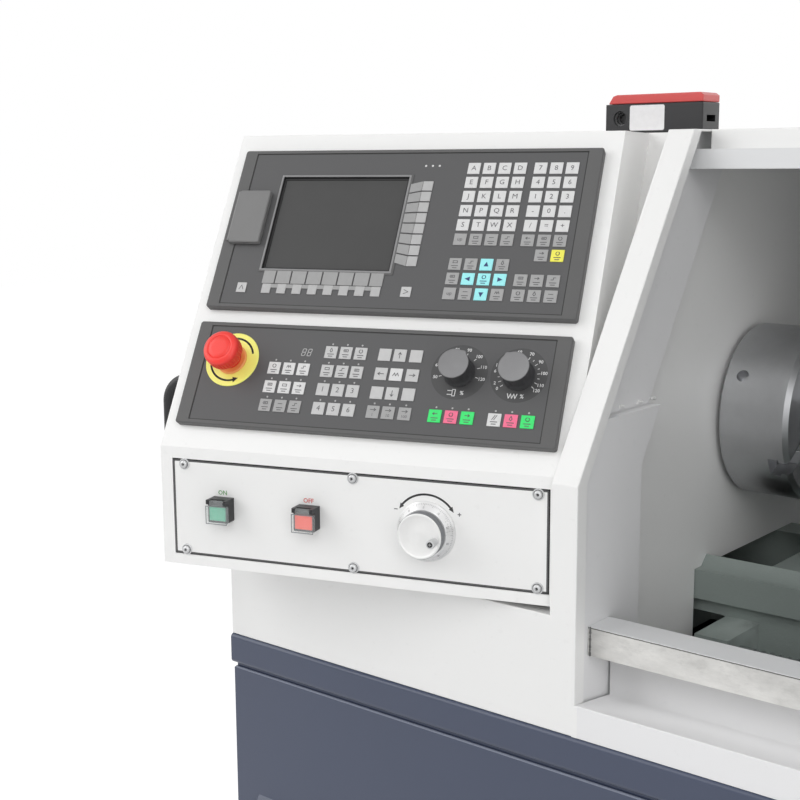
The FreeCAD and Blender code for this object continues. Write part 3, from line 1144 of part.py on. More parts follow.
def interlock_switch():
    """Black switch housing on the roof, with a cable entry and a slot for the door's key."""
    left, right = SWITCH_LEFT, SWITCH_LEFT + SWITCH_LENGTH
    low = ROOF_HEIGHT + SEAT
    high = low + SWITCH_HEIGHT
    housing = block((left, right), (SWITCH_FRONT, SWITCH_FRONT + SWITCH_DEPTH), (low, high))
    entry = rod((left + SWITCH_ENTRY, SWITCH_FRONT - 1.0, low + SWITCH_HEIGHT / 2), (0, 1, 0), 8.5, 13.0)
    key_y = SWITCH_FRONT + SWITCH_DEPTH / 2
    key_low = ROOF_HEIGHT + 14.0
    slot = block((right - 28.0, right + 1.0), (key_y - KEY_WIDTH / 2 - 2.0, key_y + KEY_WIDTH / 2 + 2.0),
                 (key_low - 2.0, key_low + KEY_THICKNESS + 2.0))
    return housing.cut([entry, slot])


def interlock_lid():
    """Red lid of the switch, bevelled at its left end."""
    left, right = SWITCH_LEFT, SWITCH_LEFT + SWITCH_LENGTH
    low = ROOF_HEIGHT + SEAT + SWITCH_HEIGHT + SEAT
    high = low + SWITCH_LID
    outline = [(left + 3.0, low), (left + 9.0, high - 1.5), (left + 14.0, high), (right - 4.0, high),
               (right, high - 3.0), (right, low)]
    return front_prism(outline, (SWITCH_FRONT + 0.5, SWITCH_FRONT + SWITCH_DEPTH - 0.5))


# ---- console ------------------------------------------------------------------------------

def console_outline(inset):
    """Side outline of the console in its own frame, inset by the sheet's thickness."""
    lean = math.radians(CONSOLE_LEAN)
    slanted = inset / math.cos(lean)
    fold = -inset * math.tan(lean / 2)
    top = SLOPE_RISE - inset
    return [(inset, -CONSOLE_DROP + inset), (inset, fold), (slanted + top * math.tan(lean), top),
            (CONSOLE_DEPTH - inset, top), (CONSOLE_DEPTH - inset, -CONSOLE_DROP + inset)]


def console_housing():
    """Folded console box, cut where it meets the guarding, open behind panels and plate."""
    half = CONSOLE_WIDTH / 2
    t = CONSOLE_SHEET
    shell = side_prism(console_outline(0.0),
                       (-half, half)).cut(side_prism(console_outline(t), (-half + t, half - t)))
    u0, u1, z0, z1 = PLATE_OPENING
    shell = shell.cut(block((u0, u1), (-1.0, t + 1.0), (z0, z1)))
    lap = 14.0
    frame = block((u0 - 8.0, u1 + 8.0), (t, t + 2.0), (z0 - 8.0, z1 + 8.0))
    frame = frame.cut(block((u0 + lap, u1 - lap), (t - 1.0, t + 3.0), (z0 + lap, z1 - lap)))
    holes = []
    for u, z in plate_screw_places():
        holes.append(rod((u, t - 1.0, z), (0, 1, 0), 2.6, 4.0))
    shell = turned_console(joined([shell, frame.cut(holes)]))
    windows = []
    for low, height in ((UPPER_PANEL_LOW, UPPER_PANEL_HEIGHT), (LOWER_PANEL_LOW, LOWER_PANEL_HEIGHT)):
        hole = block((PANEL_SHIFT - PANEL_WIDTH / 2 + 12.0, PANEL_SHIFT + PANEL_WIDTH / 2 - 12.0),
                     (low + 10.0, low + height - 10.0), (-8.0, 1.0))
        windows.append(on_console(hole, True))
    return shell.cut(windows + [guarding_envelope()])


def guarding_envelope():
    """The guarding's outer form behind the console, with the seating clearance."""
    main = [(PORTAL_DEPTH - SEAT, APRON_TOP - 50.0), (PORTAL_DEPTH - SEAT, FOLD_HEIGHT - SEAT),
            (front_line(PORTAL_DEPTH - SEAT, ROOF_HEIGHT + 20.0), ROOF_HEIGHT + 20.0),
            (BODY_DEPTH, ROOF_HEIGHT + 20.0), (BODY_DEPTH, APRON_TOP - 50.0)]
    post = [(-SEAT, APRON_TOP - 50.0), (-SEAT, FOLD_HEIGHT - SEAT),
            (front_line(-SEAT, ROOF_HEIGHT + 20.0), ROOF_HEIGHT + 20.0),
            (BODY_DEPTH, ROOF_HEIGHT + 20.0), (BODY_DEPTH, APRON_TOP - 50.0)]
    return joined([side_prism(main, (-SEAT, POST_LEFT)),
                   side_prism(post, (POST_LEFT - SEAT, POST_LEFT + 100.0))])


def plate_screw_places():
    u0, u1, z0, z1 = PLATE_OPENING
    rows = (z0 + PLATE_GAP + PLATE_SCREW_INSET, z1 - PLATE_GAP - PLATE_SCREW_INSET)
    return [(u, z) for u in PLATE_SCREW_COLUMNS for z in rows]


def console_plate():
    """Screwed plate of the console's upright face, with holes for buttons and handwheel."""
    u0, u1, z0, z1 = PLATE_OPENING
    gap = PLATE_GAP
    plate = block((u0 + gap, u1 - gap), (z0 + gap, z1 - gap), (-CONSOLE_SHEET + SEAT, 0))
    holes = [rod((u, z, -5.0), (0, 0, 1), 2.6, 10.0) for u, z in plate_screw_places()]
    holes += [rod((u, BUTTON_ROW, -5.0), (0, 0, 1), BUTTON_HOLE, 10.0) for u in BUTTON_COLUMNS]
    holes.append(rod((WHEEL_U, WHEEL_Z, -5.0), (0, 0, 1), WHEEL_HOLE, 10.0))
    return on_console(plate.cut(holes), False)


def plate_screws():
    """Six button-head screws with broad washers."""
    screws = []
    r = PLATE_SCREW_RADIUS
    washer = r * 2.5
    rim = r * 0.45
    profile = [(0, -2 * r), (r, -2 * r), (r, 0), (washer, 0), (washer, rim), (r * 1.75, rim),
               (r * 1.2, r * 1.55), (0, r * 1.6)]
    for u, z in plate_screw_places():
        screws.append(on_console(turned(profile, (u, z, 0), (0, 0, 1)), False))
    return group(screws)


def keypad_panel(low, height, thickness):
    """Panel frame with rounded corners and a sunk keypad field."""
    half = PANEL_WIDTH / 2
    frame = rounded_plate((PANEL_SHIFT - half, PANEL_SHIFT + half), (low, low + height), (SEAT, thickness),
                          PANEL_CORNER)
    top_edges = [e for e in frame.Edges if e.BoundBox.ZMin > thickness - 0.1]
    frame = frame.makeChamfer(1.2, top_edges)
    field = block((PANEL_SHIFT - half + FIELD_SIDE, PANEL_SHIFT + half - FIELD_SIDE),
                  (low + FIELD_EDGE, low + height - FIELD_EDGE), (thickness - FIELD_DEPTH, thickness + 1.0))
    return frame.cut(field)


SCREEN = (-154.5, 0.0, 210.0, 328.0)          # u from, u to, v from, v to: sunk screen surround
SCREEN_SUNK = 5.0
SCREEN_GLASS_INSET = 8.0


def upper_panel():
    """Control panel housing: keypad field, sunk screen surround, seat of the flap."""
    panel = keypad_panel(UPPER_PANEL_LOW, UPPER_PANEL_HEIGHT, PANEL_THICKNESS)
    u0, u1, v0, v1 = SCREEN
    rim = block((u0 - 2.5, u1 + 2.5), (v0 - 2.5, v1 + 2.5), (2.0, PANEL_THICKNESS))
    sunk = block((u0, u1), (v0, v1), (PANEL_THICKNESS - SCREEN_SUNK, PANEL_THICKNESS + 1.0))
    return on_console(joined([panel, rim]).cut(sunk), True)


def screen():
    """Screen pane at the bottom of its surround."""
    u0, u1, v0, v1 = SCREEN
    inset = SCREEN_GLASS_INSET / 4
    low = PANEL_THICKNESS - SCREEN_SUNK
    return on_console(block((u0 + inset, u1 - inset), (v0 + inset, v1 - inset), (low, low + 2.0)), True)


FLAP = (-204.0, -163.0, 241.0, 307.0)         # u from, u to, v from, v to
FLAP_THICKNESS = 6.0
FLAP_PIN = 1.5


def usb_cover():
    """Flap over the sockets, hinged on a pin along its left edge."""
    u0, u1, v0, v1 = FLAP
    low = PANEL_THICKNESS + SEAT
    plate = rounded_plate((u0 + 3.0, u1), (v0, v1), (low, low + FLAP_THICKNESS), 2.5)
    rim = [e for e in plate.Edges if e.BoundBox.ZMin > low + FLAP_THICKNESS - 0.1]
    plate = plate.makeChamfer(1.0, rim)
    barrel = rod((u0 + 3.0, v0 + 2.0, low + 3.0), (0, 1, 0), 3.0, v1 - v0 - 4.0)
    return on_console(joined([plate, barrel]), True)


def key(u, v, width, height, base):
    return block((u - width / 2, u + width / 2), (v - height / 2, v + height / 2), (base, base + KEY_RISE))


FIELD_LEVEL = PANEL_THICKNESS - FIELD_DEPTH
KEY_ROW_PITCH = 17.3
KEY_ROW_TOP = 338.1
LETTERS_LEFT = 70.1
NUMBERS_LEFT = 144.0
LETTER_COLUMNS = [LETTERS_LEFT + KEY_PITCH * i for i in range(4)]
NUMBER_COLUMNS = [NUMBERS_LEFT + KEY_PITCH * i for i in range(3)]
KEY_ROWS = [KEY_ROW_TOP - KEY_ROW_PITCH * i for i in range(6)]
CURSOR_ROWS = [222.3, 205.2, 187.8]
SOFT_KEYS = 8
SIDE_KEY_PITCH = 13.15
SIDE_KEY_TOP = 322.9
BOTTOM_KEY_PITCH = 17.8
SIDE_KEY_U = 14.8
SIDE_KEY_WIDTH = 24.4
BOTTOM_KEY_LEFT = -146.9
BOTTOM_KEY_TALL = 15.0
BOTTOM_KEY_ROW = 199.0
BOTTOM_KEY_FOOT = (12.4, 14.0)        # width and height of the square part below
SMALL_KEY = 12.0
SMALL_KEYS = ((-172.5, 187.5), (21.8, 188.0))


def upper_keys():
    """Keys of the control panel: letter, number and cursor blocks, soft keys round the screen."""
    places = [(u, v) for u in LETTER_COLUMNS + NUMBER_COLUMNS for v in KEY_ROWS]
    places += [(u, KEY_ROWS[5] - KEY_ROW_PITCH) for u in NUMBER_COLUMNS[1:]]
    places += [(u, v) for u in LETTER_COLUMNS for v in CURSOR_ROWS]
    places += [(u, v) for u in NUMBER_COLUMNS for v in CURSOR_ROWS[1:]]
    keys = [key(u, v, KEY_SIZE, KEY_SIZE, FIELD_LEVEL) for u, v in places]
    keys += [key(u, v, SMALL_KEY, SMALL_KEY, FIELD_LEVEL) for u, v in SMALL_KEYS]
    foot_width, foot_height = BOTTOM_KEY_FOOT
    foot_row = BOTTOM_KEY_ROW - (BOTTOM_KEY_TALL + foot_height) / 2 + 0.3
    for index in range(SOFT_KEYS):
        v = SIDE_KEY_TOP - SIDE_KEY_PITCH * (index + 0.5)
        keys.append(key(SIDE_KEY_U, v, SIDE_KEY_WIDTH, SIDE_KEY_PITCH - 1.6, FIELD_LEVEL))
        u = BOTTOM_KEY_LEFT + BOTTOM_KEY_PITCH * (index + 0.5)
        keys.append(joined([key(u, BOTTOM_KEY_ROW, BOTTOM_KEY_PITCH - 1.8, BOTTOM_KEY_TALL, FIELD_LEVEL),
                            key(u - 1.0, foot_row, foot_width, foot_height, FIELD_LEVEL)]))
    return on_console(group(keys), True)


BLOCK_ONE = ([-109.0, -91.9, -75.0], [93.6, 72.1, 50.9])
BLOCK_TWO = ([-47.5, -30.6, -13.8], [114.8, 93.4, 72.4, 51.1])
BLOCK_THREE = ([13.5, 30.2, 48.1], [115.0, 93.5, 72.3, 51.1])
BLOCK_FOUR = ([80.6, 97.6, 114.7, 142.9, 159.8, 176.9], [51.1])


def lower_panel():
    """Machine control panel, bored for the stop button and the two rotary switches."""
    panel = keypad_panel(LOWER_PANEL_LOW, LOWER_PANEL_HEIGHT, PANEL_THICKNESS)
    bores = [rod((STOP_U, STOP_ROW, -1.0), (0, 0, 1), STOP_STEM + SEAT, 20.0)]
    bores += [rod((u, KNOB_ROW, -1.0), (0, 0, 1), 4.0, 20.0) for u in KNOB_COLUMNS]
    return on_console(panel.cut(bores), True)


def lower_keys():
    keys = []
    for columns, rows in (BLOCK_ONE, BLOCK_TWO, BLOCK_THREE, BLOCK_FOUR):
        keys += [key(u, v, KEY_SIZE, KEY_SIZE, FIELD_LEVEL) for u in columns for v in rows]
    return on_console(group(keys), True)


def override_knob(u, pointer):
    """Rotary switch knob: skirted body, faceted grip, pointer notch turned to its mark."""
    base = FIELD_LEVEL + SEAT
    profile = [(0, -6.0), (3.7, -6.0), (3.7, base), (KNOB_RADIUS + 1.0, base),
               (KNOB_RADIUS + 1.0, base + 2.0),
               (KNOB_RADIUS - 0.5, base + 6.0), (KNOB_RADIUS, KNOB_RISE - 1.5),
               (KNOB_RADIUS - 1.0, KNOB_RISE), (0, KNOB_RISE)]
    body = turned(profile, (u, KNOB_ROW, 0), (0, 0, 1))
    flutes = []
    for index in range(12):
        angle = math.radians(pointer + 30.0 * index + 15.0)
        flutes.append(rod((u + (KNOB_RADIUS + 2.6) * math.cos(angle),
                           KNOB_ROW + (KNOB_RADIUS + 2.6) * math.sin(angle), base + 6.0),
                          (0, 0, 1), 3.6, 30.0))
    nose = block((KNOB_RADIUS - 2.0, KNOB_RADIUS + 1.6), (-2.2, 2.2), (base + 8.0, KNOB_RISE))
    nose.rotate(vec(0, 0, 0), vec(0, 0, 1), pointer)
    nose.translate(vec(u, KNOB_ROW, 0))
    return on_console(joined([body.cut(flutes), nose]), True)


def stop_disc():
    """Yellow disc under the stop button with its raised collar."""
    hole = STOP_STEM + SEAT
    level = FIELD_LEVEL
    profile = [(hole, level), (STOP_DISC_RADIUS, level), (STOP_DISC_RADIUS, level + 1.0),
               (STOP_HEAD_RADIUS + 3.0, level + 1.2),
               (STOP_HEAD_RADIUS + 1.0, level + 3.2), (hole, level + 3.2)]
    return on_console(turned(profile, (STOP_U, STOP_ROW, 0), (0, 0, 1)), True)


def stop_head():
    """Red mushroom head with a fluted skirt, on its stem."""
    r = STOP_HEAD_RADIUS
    profile = [(0, 2.0), (STOP_STEM, 2.0), (STOP_STEM, STOP_RISE - 20.0), (r - 3.5, STOP_RISE - 18.5),
               (r, STOP_RISE - 13.0),
               (r, STOP_RISE - 4.0), (r - 1.2, STOP_RISE - 1.6), (r - 4.0, STOP_RISE - 0.4),
               (r - 7.0, STOP_RISE),
               (r - 7.6, STOP_RISE - 0.6), (r - 8.2, STOP_RISE), (0, STOP_RISE)]
    head = turned(profile, (STOP_U, STOP_ROW, 0), (0, 0, 1))
    flutes = []
    for index in range(STOP_FLUTES):
        flute = block((-1.0, 1.0), (-1.0, 1.0), (STOP_RISE - 17.0, STOP_RISE - 5.5))
        flute.rotate(vec(0, 0, 0), vec(0, 0, 1), 45.0)
        flute.translate(vec(r + 0.7, 0, 0))
        flute.rotate(vec(0, 0, 0), vec(0, 0, 1), 360.0 / STOP_FLUTES * index)
        flute.translate(vec(STOP_U, STOP_ROW, 0))
        flutes.append(flute)
    return on_console(head.cut(flutes), True)


def button_bodies():
    """Two square push button bodies with hinge ears for their guards."""
    bodies = []
    half = BUTTON_WIDTH / 2
    rise = BUTTON_HEIGHT / 2
    for u in BUTTON_COLUMNS:
        body = rounded_plate((u - half, u + half), (BUTTON_ROW - rise, BUTTON_ROW + rise),
                             (0, BUTTON_BODY_RISE), 1.5)
        neck = rod((u, BUTTON_ROW, -20.0), (0, 0, 1), BUTTON_HOLE - SEAT, 21.0)
        pocket = block((u - LENS_WIDTH / 2 - SEAT, u + LENS_WIDTH / 2 + SEAT),
                       (BUTTON_ROW - LENS_HEIGHT / 2 - SEAT, BUTTON_ROW + LENS_HEIGHT / 2 + SEAT),
                       (4.0, BUTTON_BODY_RISE + 1.0))
        ears = []
        for side in (-1, 1):
            ears.append(block(sorted((u + side * half, u + side * (half - 3.4))),
                              (GUARD_HINGE_V - BUTTON_EAR, GUARD_HINGE_V + BUTTON_EAR),
                              (0, GUARD_HINGE_W + BUTTON_EAR)))
        shelf = block((u - half, u + half), (BUTTON_ROW + rise - 1.5, GUARD_HINGE_V + BUTTON_EAR),
                      (0, GUARD_HINGE_W - 4.0))
        bodies.append(joined([body, neck, shelf] + ears).cut(pocket))
    return on_console(group(bodies), False)


GUARD_HINGE_V = BUTTON_ROW + BUTTON_HEIGHT / 2 + 2.7
GUARD_HINGE_W = BUTTON_BODY_RISE + 2.2


def button_lens(u):
    """Lit lens that is pushed into its body."""
    lens = rounded_plate((u - LENS_WIDTH / 2, u + LENS_WIDTH / 2),
                         (BUTTON_ROW - LENS_HEIGHT / 2, BUTTON_ROW + LENS_HEIGHT / 2),
                         (4.0 + LENS_TRAVEL + SEAT, BUTTON_BODY_RISE + 1.5), 1.0)
    return on_console(lens, False)


def button_guard(u):
    """Clear flip guard: a shallow box open towards the body, with its hinge barrel on top."""
    half = BUTTON_WIDTH / 2 + 0.8
    drop = BUTTON_HEIGHT / 2 + 0.8
    low = BUTTON_BODY_RISE + SEAT
    high = low + 4.2
    v = (BUTTON_ROW - drop, BUTTON_ROW + drop - 1.8)
    box = rounded_plate((u - half, u + half), v, (low, high), 1.5)
    hollow = block((u - half + 1.2, u + half - 1.2), (v[0] + 1.2, v[1] - 1.2), (low - 1.0, high - 1.2))
    reach = BUTTON_WIDTH / 2 - 3.4 - SEAT
    barrel = rod((u - reach, GUARD_HINGE_V, GUARD_HINGE_W), (1, 0, 0), 2.2, 2 * reach)
    strap = block((u - reach, u + reach), (v[1] - 1.0, GUARD_HINGE_V),
                  (GUARD_HINGE_W - 0.6, GUARD_HINGE_W + 2.2))
    return on_console(joined([box.cut(hollow), strap, barrel]), False)


def wheel_ring():
    """Fixed scale ring of the handwheel: flat foot and cone."""
    r = WHEEL_RING_RADIUS
    inner = 9.0 + SEAT
    profile = [(inner, 0), (r, 0), (r, 3.0), (r - 1.0, 3.8), (WHEEL_RADIUS + 1.5, 11.5),
               (WHEEL_RADIUS - 3.0, 11.5), (inner, 11.5)]
    return on_console(turned(profile, (WHEEL_U, WHEEL_Z, 0), (0, 0, 1)), False)


def wheel_disc():
    """Handwheel disc with a dished face, its shaft and the small crank knob."""
    r = WHEEL_RADIUS
    low = 11.5 + SEAT
    profile = [(0, -14.0), (9.0, -14.0), (9.0, low), (r, low), (r, WHEEL_RISE - 1.2), (r - 1.0, WHEEL_RISE),
               (r - 2.4, WHEEL_RISE),
               (r - 3.2, WHEEL_RISE - 0.8), (0, WHEEL_RISE - 0.8)]
    disc = turned(profile, (WHEEL_U, WHEEL_Z, 0), (0, 0, 1))
    crank_profile = [(0, -2.0), (3.0, -2.0), (3.0, 1.0), (4.2, 2.0), (4.6, 12.0), (4.0, 14.0), (3.0, 14.0),
                     (3.0, 13.0), (0, 13.0)]
    knob = turned([(radius, WHEEL_RISE + rise) for radius, rise in crank_profile],
                  (WHEEL_U + 16.2, WHEEL_Z - 3.6, 0), (0, 0, 1))
    return on_console(joined([disc, knob]), False)


def console_handle():
    """Black bow handle on the console's left side."""
    grip = bow(GRIP_STANDOFF - GRIP_BAR, GRIP_LENGTH, GRIP_BAR, 26.0)
    grip.Placement = FreeCAD.Placement(vec(-CONSOLE_WIDTH / 2 - SEAT, GRIP_Y, GRIP_LOW + GRIP_LENGTH / 2),
                                       FreeCAD.Rotation(vec(0, 0, 1), -90))
    return turned_console(grip)


# ---- electrical cabinet -------------------------------------------------------------------

def electrical_cabinet():
    """Sheet cabinet on the rear wall with the drives on its back plate."""
    x0, x1, z0, z1 = CABINET
    t = CABINET_SHEET
    y0 = BODY_DEPTH + SEAT
    box = block((x0, x1), (y0, CABINET_BACK), (z0, z1))
    hollow = block((x0 + t, x1 - t), (y0 + t, CABINET_BACK + 1.0), (z0 + t, z1 - t))
    rim = block((x0 + t, x1 - t), (CABINET_BACK - t, CABINET_BACK), (z0 + t, z1 - t))
    rim = rim.cut(block((x0 + CABINET_RIM, x1 - CABINET_RIM), (CABINET_BACK - t - 1.0, CABINET_BACK + 1.0),
                        (z0 + CABINET_RIM, z1 - CABINET_RIM)))
    shell = joined([box.cut(hollow), rim])
    back = y0 + t
    drives = []
    for index in range(3):
        left = x0 + 70.0 + index * 170.0
        drives.append(block((left, left + 120.0), (back, back + 130.0), (z0 + 430.0, z0 + 720.0)))
    for index in range(2):
        left = x0 + 60.0 + index * 260.0
        drives.append(block((left, left + 220.0), (back, back + 60.0), (z0 + 280.0, z0 + 350.0)))
    transformer = block((x0 + 90.0, x0 + 250.0), (back, back + 110.0), (z0 + 60.0, z0 + 190.0))
    glands = [rod((x0 + 120.0 + 90.0 * i, BODY_DEPTH + CABINET_DEPTH / 2, z0 - 16.0), (0, 0, 1), 14.0,
                  17.0) for i in range(4)]
    return joined([shell, transformer] + drives + glands)


def cabinet_door():
    """Folded cabinet door with its two locks and hinge barrels at the left end."""
    x0, x1, z0, z1 = CABINET
    t = CABINET_SHEET
    y0 = CABINET_BACK + SEAT
    y1 = y0 + CABINET_DOOR_DEPTH
    leaf = block((x0, x1), (y0, y1), (z0, z1)).cut(block((x0 + t, x1 - t), (y0 - 1.0, y1 - t),
                                                         (z0 + t, z1 - t)))
    locks = []
    for z in (z0 + 160.0, z1 - 160.0):
        locks.append(rod((x0 + 34.0, y1, z), (0, 1, 0), 13.0, 5.0))
    barrels = [rod((x1 + 6.0, y0 + 6.0, z - 30.0), (0, 0, 1), 5.0, 60.0) for z in (z0 + 120.0, z1 - 120.0)]
    webs = [block((x1 - 1.0, x1 + 6.0), (y0 + 3.0, y0 + 9.0), (z - 30.0, z + 30.0)) for z in (z0 + 120.0,
                                                                                              z1 - 120.0)]
    return joined([leaf] + locks + barrels + webs)


# ---- coolant ------------------------------------------------------------------------------

def coolant_tank():
    """Coolant tank in the stand's right bay, with its pump and a pull at the doorway."""
    y0, y1, z0, z1 = BAY_DOORWAY
    floor = STAND_BOTTOM + STAND_WALL
    right = BODY_LENGTH - TANK_END_GAP
    left = right - TANK_LENGTH
    low, high = floor + TANK_LIFT, z1 - TANK_HEADROOM
    gap = TANK_SIDE_GAP
    tank = rounded_plate((left, right), (y0 + gap, y1 - gap), (low, high), gap)
    lid = block((left - TANK_LID, right + TANK_LID), (y0 + gap - TANK_LID, y1 - gap + TANK_LID),
                (high, high + TANK_LID))
    pull_low = (low + high) / 2
    half = PULL_WIDTH / 2
    pull = block((right, right + PULL_REACH), (SPINDLE_Y - half, SPINDLE_Y + half),
                 (pull_low, pull_low + 4 * PULL_BAR))
    pull = pull.cut(block((right - 1.0, right + PULL_REACH - PULL_BAR),
                          (SPINDLE_Y - half + PULL_BAR, SPINDLE_Y + half - PULL_BAR),
                          (pull_low - 1.0, pull_low + 3 * PULL_BAR)))
    skids = []
    for y in (y0 + 2 * SKID_WIDTH, y1 - 2 * SKID_WIDTH):
        skids.append(block((left + SKID_WIDTH / 2, right - SKID_WIDTH / 2),
                           (y - SKID_WIDTH / 2, y + SKID_WIDTH / 2),
                           (floor + SEAT, low)))
    foot = PUMP_RADIUS * 1.3
    neck = PUMP_RADIUS * 0.35
    pump = turned([(0, 0), (foot, 0), (foot, neck), (PUMP_RADIUS, neck), (PUMP_RADIUS, PUMP_HEIGHT - 10.0),
                   (PUMP_RADIUS * 0.85, PUMP_HEIGHT), (0, PUMP_HEIGHT)],
                  (left + PUMP_INSET, SPINDLE_Y + PUMP_OFFSET, high + TANK_LID), (0, 0, 1))
    return joined([tank, lid, pull, pump] + skids)


# ---- the machine --------------------------------------------------------------------------

def build():
    """Every piece by name, in the layout frame."""
    pieces = {
        "base_cabinet": base_cabinet(), "levelling_feet": levelling_feet(), "chip_tray": chip_tray(),
        "bed": bed(), "headstock": headstock(), "spindle": spindle(), "spindle_bearings": spindle_bearings(),
        "drive_belt": drive_belt(), "spindle_motor": spindle_motor(), "motor_pulley": motor_pulley(),
        "chuck_body": chuck_body(), "saddle": saddle(), "cross_slide": cross_slide(),
        "turret_base": turret_base(), "turret_head": turret_head(), "z_screw": z_screw(),
              "z_motor": z_motor(),
        "x_screw": x_screw(), "x_motor": x_motor(), "tailstock_body": tailstock_body(),
        "tailstock_quill": tailstock_quill(), "headstock_hood": headstock_hood(), "tail_hood": tail_hood(),
        "rear_guard": rear_guard(), "jamb_liner": jamb_liner(), "sill_channel": sill_channel(),
        "door_rails": door_rails(), "door_leaf": door_leaf(), "door_window": door_window(),
        "door_handle": door_handle(), "door_glides": door_glides(), "interlock_switch": interlock_switch(),
        "interlock_lid": interlock_lid(), "console_housing": console_housing(),
              "console_plate": console_plate(),
        "plate_screws": plate_screws(), "upper_panel": upper_panel(), "screen": screen(),
              "usb_cover": usb_cover(),
        "upper_keys": upper_keys(), "lower_panel": lower_panel(), "lower_keys": lower_keys(),
        "spindle_knob": override_knob(KNOB_COLUMNS[0], 48.0),
              "feed_knob": override_knob(KNOB_COLUMNS[1], 123.0),
        "stop_disc": stop_disc(), "stop_head": stop_head(), "button_bodies": button_bodies(),
        "on_lens": button_lens(BUTTON_COLUMNS[0]), "off_lens": button_lens(BUTTON_COLUMNS[1]),
        "on_guard": button_guard(BUTTON_COLUMNS[0]), "off_guard": button_guard(BUTTON_COLUMNS[1]),
        "wheel_ring": wheel_ring(), "wheel_disc": wheel_disc(), "console_handle": console_handle(),
        "electrical_cabinet": electrical_cabinet(), "cabinet_door": cabinet_door(),
              "coolant_tank": coolant_tank(),
    }
    for index in range(3):
        pieces["chuck_jaw_%d" % (index + 1)] = chuck_jaw(index)
    return pieces


def footprint_centre(pieces):
    """Middle of the whole machine's footprint, on the floor."""
    whole = FreeCAD.BoundBox()
    for shape in pieces.values():
        whole.add(shape.BoundBox)
    return vec((whole.XMin + whole.XMax) / 2, (whole.YMin + whole.YMax) / 2, 0)


def write_pieces(pieces, folder):
    os.makedirs(folder, exist_ok=True)
    centre = footprint_centre(pieces)
    print("footprint centre in the layout frame:", round(centre.x, 3), round(centre.y, 3))
    for name, shape in pieces.items():
        moved = shape.copy()
        moved.translate(centre * -1)
        moved.exportStep(os.path.join(folder, name + ".step"))
        print(name, "solids", len(shape.Solids), "valid", shape.isValid(), "cm3",
              round(shape.Volume / 1000, 1))


write_pieces(build(), "parts")
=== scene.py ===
import json
import math
import bmesh
import bpy
import numpy as np
from mathutils import Matrix, Vector

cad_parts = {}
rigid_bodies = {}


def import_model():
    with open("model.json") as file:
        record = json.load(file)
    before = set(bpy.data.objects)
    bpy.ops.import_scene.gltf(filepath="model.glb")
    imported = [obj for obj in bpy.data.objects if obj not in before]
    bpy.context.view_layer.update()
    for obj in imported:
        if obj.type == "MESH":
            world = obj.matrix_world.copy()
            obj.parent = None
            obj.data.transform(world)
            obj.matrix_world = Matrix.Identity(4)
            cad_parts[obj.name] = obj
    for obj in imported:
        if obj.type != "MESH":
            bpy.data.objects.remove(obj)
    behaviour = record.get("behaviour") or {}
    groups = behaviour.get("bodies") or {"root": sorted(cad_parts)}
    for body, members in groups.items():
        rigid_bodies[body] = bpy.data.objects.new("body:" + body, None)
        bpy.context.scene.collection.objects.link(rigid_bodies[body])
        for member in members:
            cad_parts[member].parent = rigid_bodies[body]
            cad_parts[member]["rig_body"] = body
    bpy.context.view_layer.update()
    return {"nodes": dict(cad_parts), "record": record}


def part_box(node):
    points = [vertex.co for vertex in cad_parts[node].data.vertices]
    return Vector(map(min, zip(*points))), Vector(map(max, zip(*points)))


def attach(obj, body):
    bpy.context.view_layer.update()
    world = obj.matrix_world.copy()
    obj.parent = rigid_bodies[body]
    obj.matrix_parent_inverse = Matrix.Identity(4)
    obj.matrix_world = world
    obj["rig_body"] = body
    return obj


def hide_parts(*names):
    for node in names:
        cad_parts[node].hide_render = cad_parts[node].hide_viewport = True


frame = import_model()
nodes = frame["nodes"]
bodyOf = {name: node["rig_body"] for name, node in nodes.items()}
print("frame loaded:", len(nodes), "nodes")

# the machine's layout in metres, from the stand's left front corner as the drawings have it
machine = {"bodyDepth": 0.880}
corner = Vector((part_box("base_cabinet")[0].x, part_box("rear_guard")[1].y - machine["bodyDepth"], 0))
console = {"x": 0.2477, "y": -0.05735, "fold": 1.140, "yaw": 18.08, "lean": 32.04}


def consoleMatrix(leaning):
    # panel millimetres (u right, v up the face, w off the face) to the row frame in metres
    stand = Matrix.Translation(corner + Vector((console["x"], console["y"], console["fold"])))
    yaw = Matrix.Rotation(math.radians(console["yaw"]), 4, "Z")
    tilt = Matrix.Rotation(math.radians(90 - console["lean"] if leaning else 90), 4, "X")
    return stand @ yaw @ tilt @ Matrix.Scale(0.001, 4)


onSlope = consoleMatrix(True)
onUpright = consoleMatrix(False)
onMachine = Matrix.Translation(corner) @ Matrix.Scale(0.001, 4)  # layout millimetres to the row frame


def moved(matrix, u, v, w=0.0):
    return matrix @ Matrix.Translation((u, v, w))


def onAxis(point, axis):
    # turned shapes: their height runs along axis from a layout point, in millimetres
    turn = Vector((0, 0, 1)).rotation_difference(Vector(axis)).to_matrix().to_4x4()
    return moved(onMachine, *point) @ turn


def onFront(y):
    # u right and v up in layout millimetres, on an upright plane at depth y that faces the operator
    return moved(onMachine, 0, y) @ Matrix.Rotation(math.radians(90), 4, "X")


def carried(points, matrix):
    # every point through a 4x4 matrix, as one array product
    m = np.array(matrix)
    return points @ m[:3, :3].T + m[:3, 3]


def ringFaces(rows, columns):
    # quads between neighbouring rings, each of as many points as there are columns
    i, j = np.meshgrid(np.arange(rows - 1), np.arange(columns), indexing="ij")
    low, after = i * columns, (j + 1) % columns
    high = low + columns
    return np.stack([low + j, low + after, high + after, high + j], -1).reshape(-1, 4)


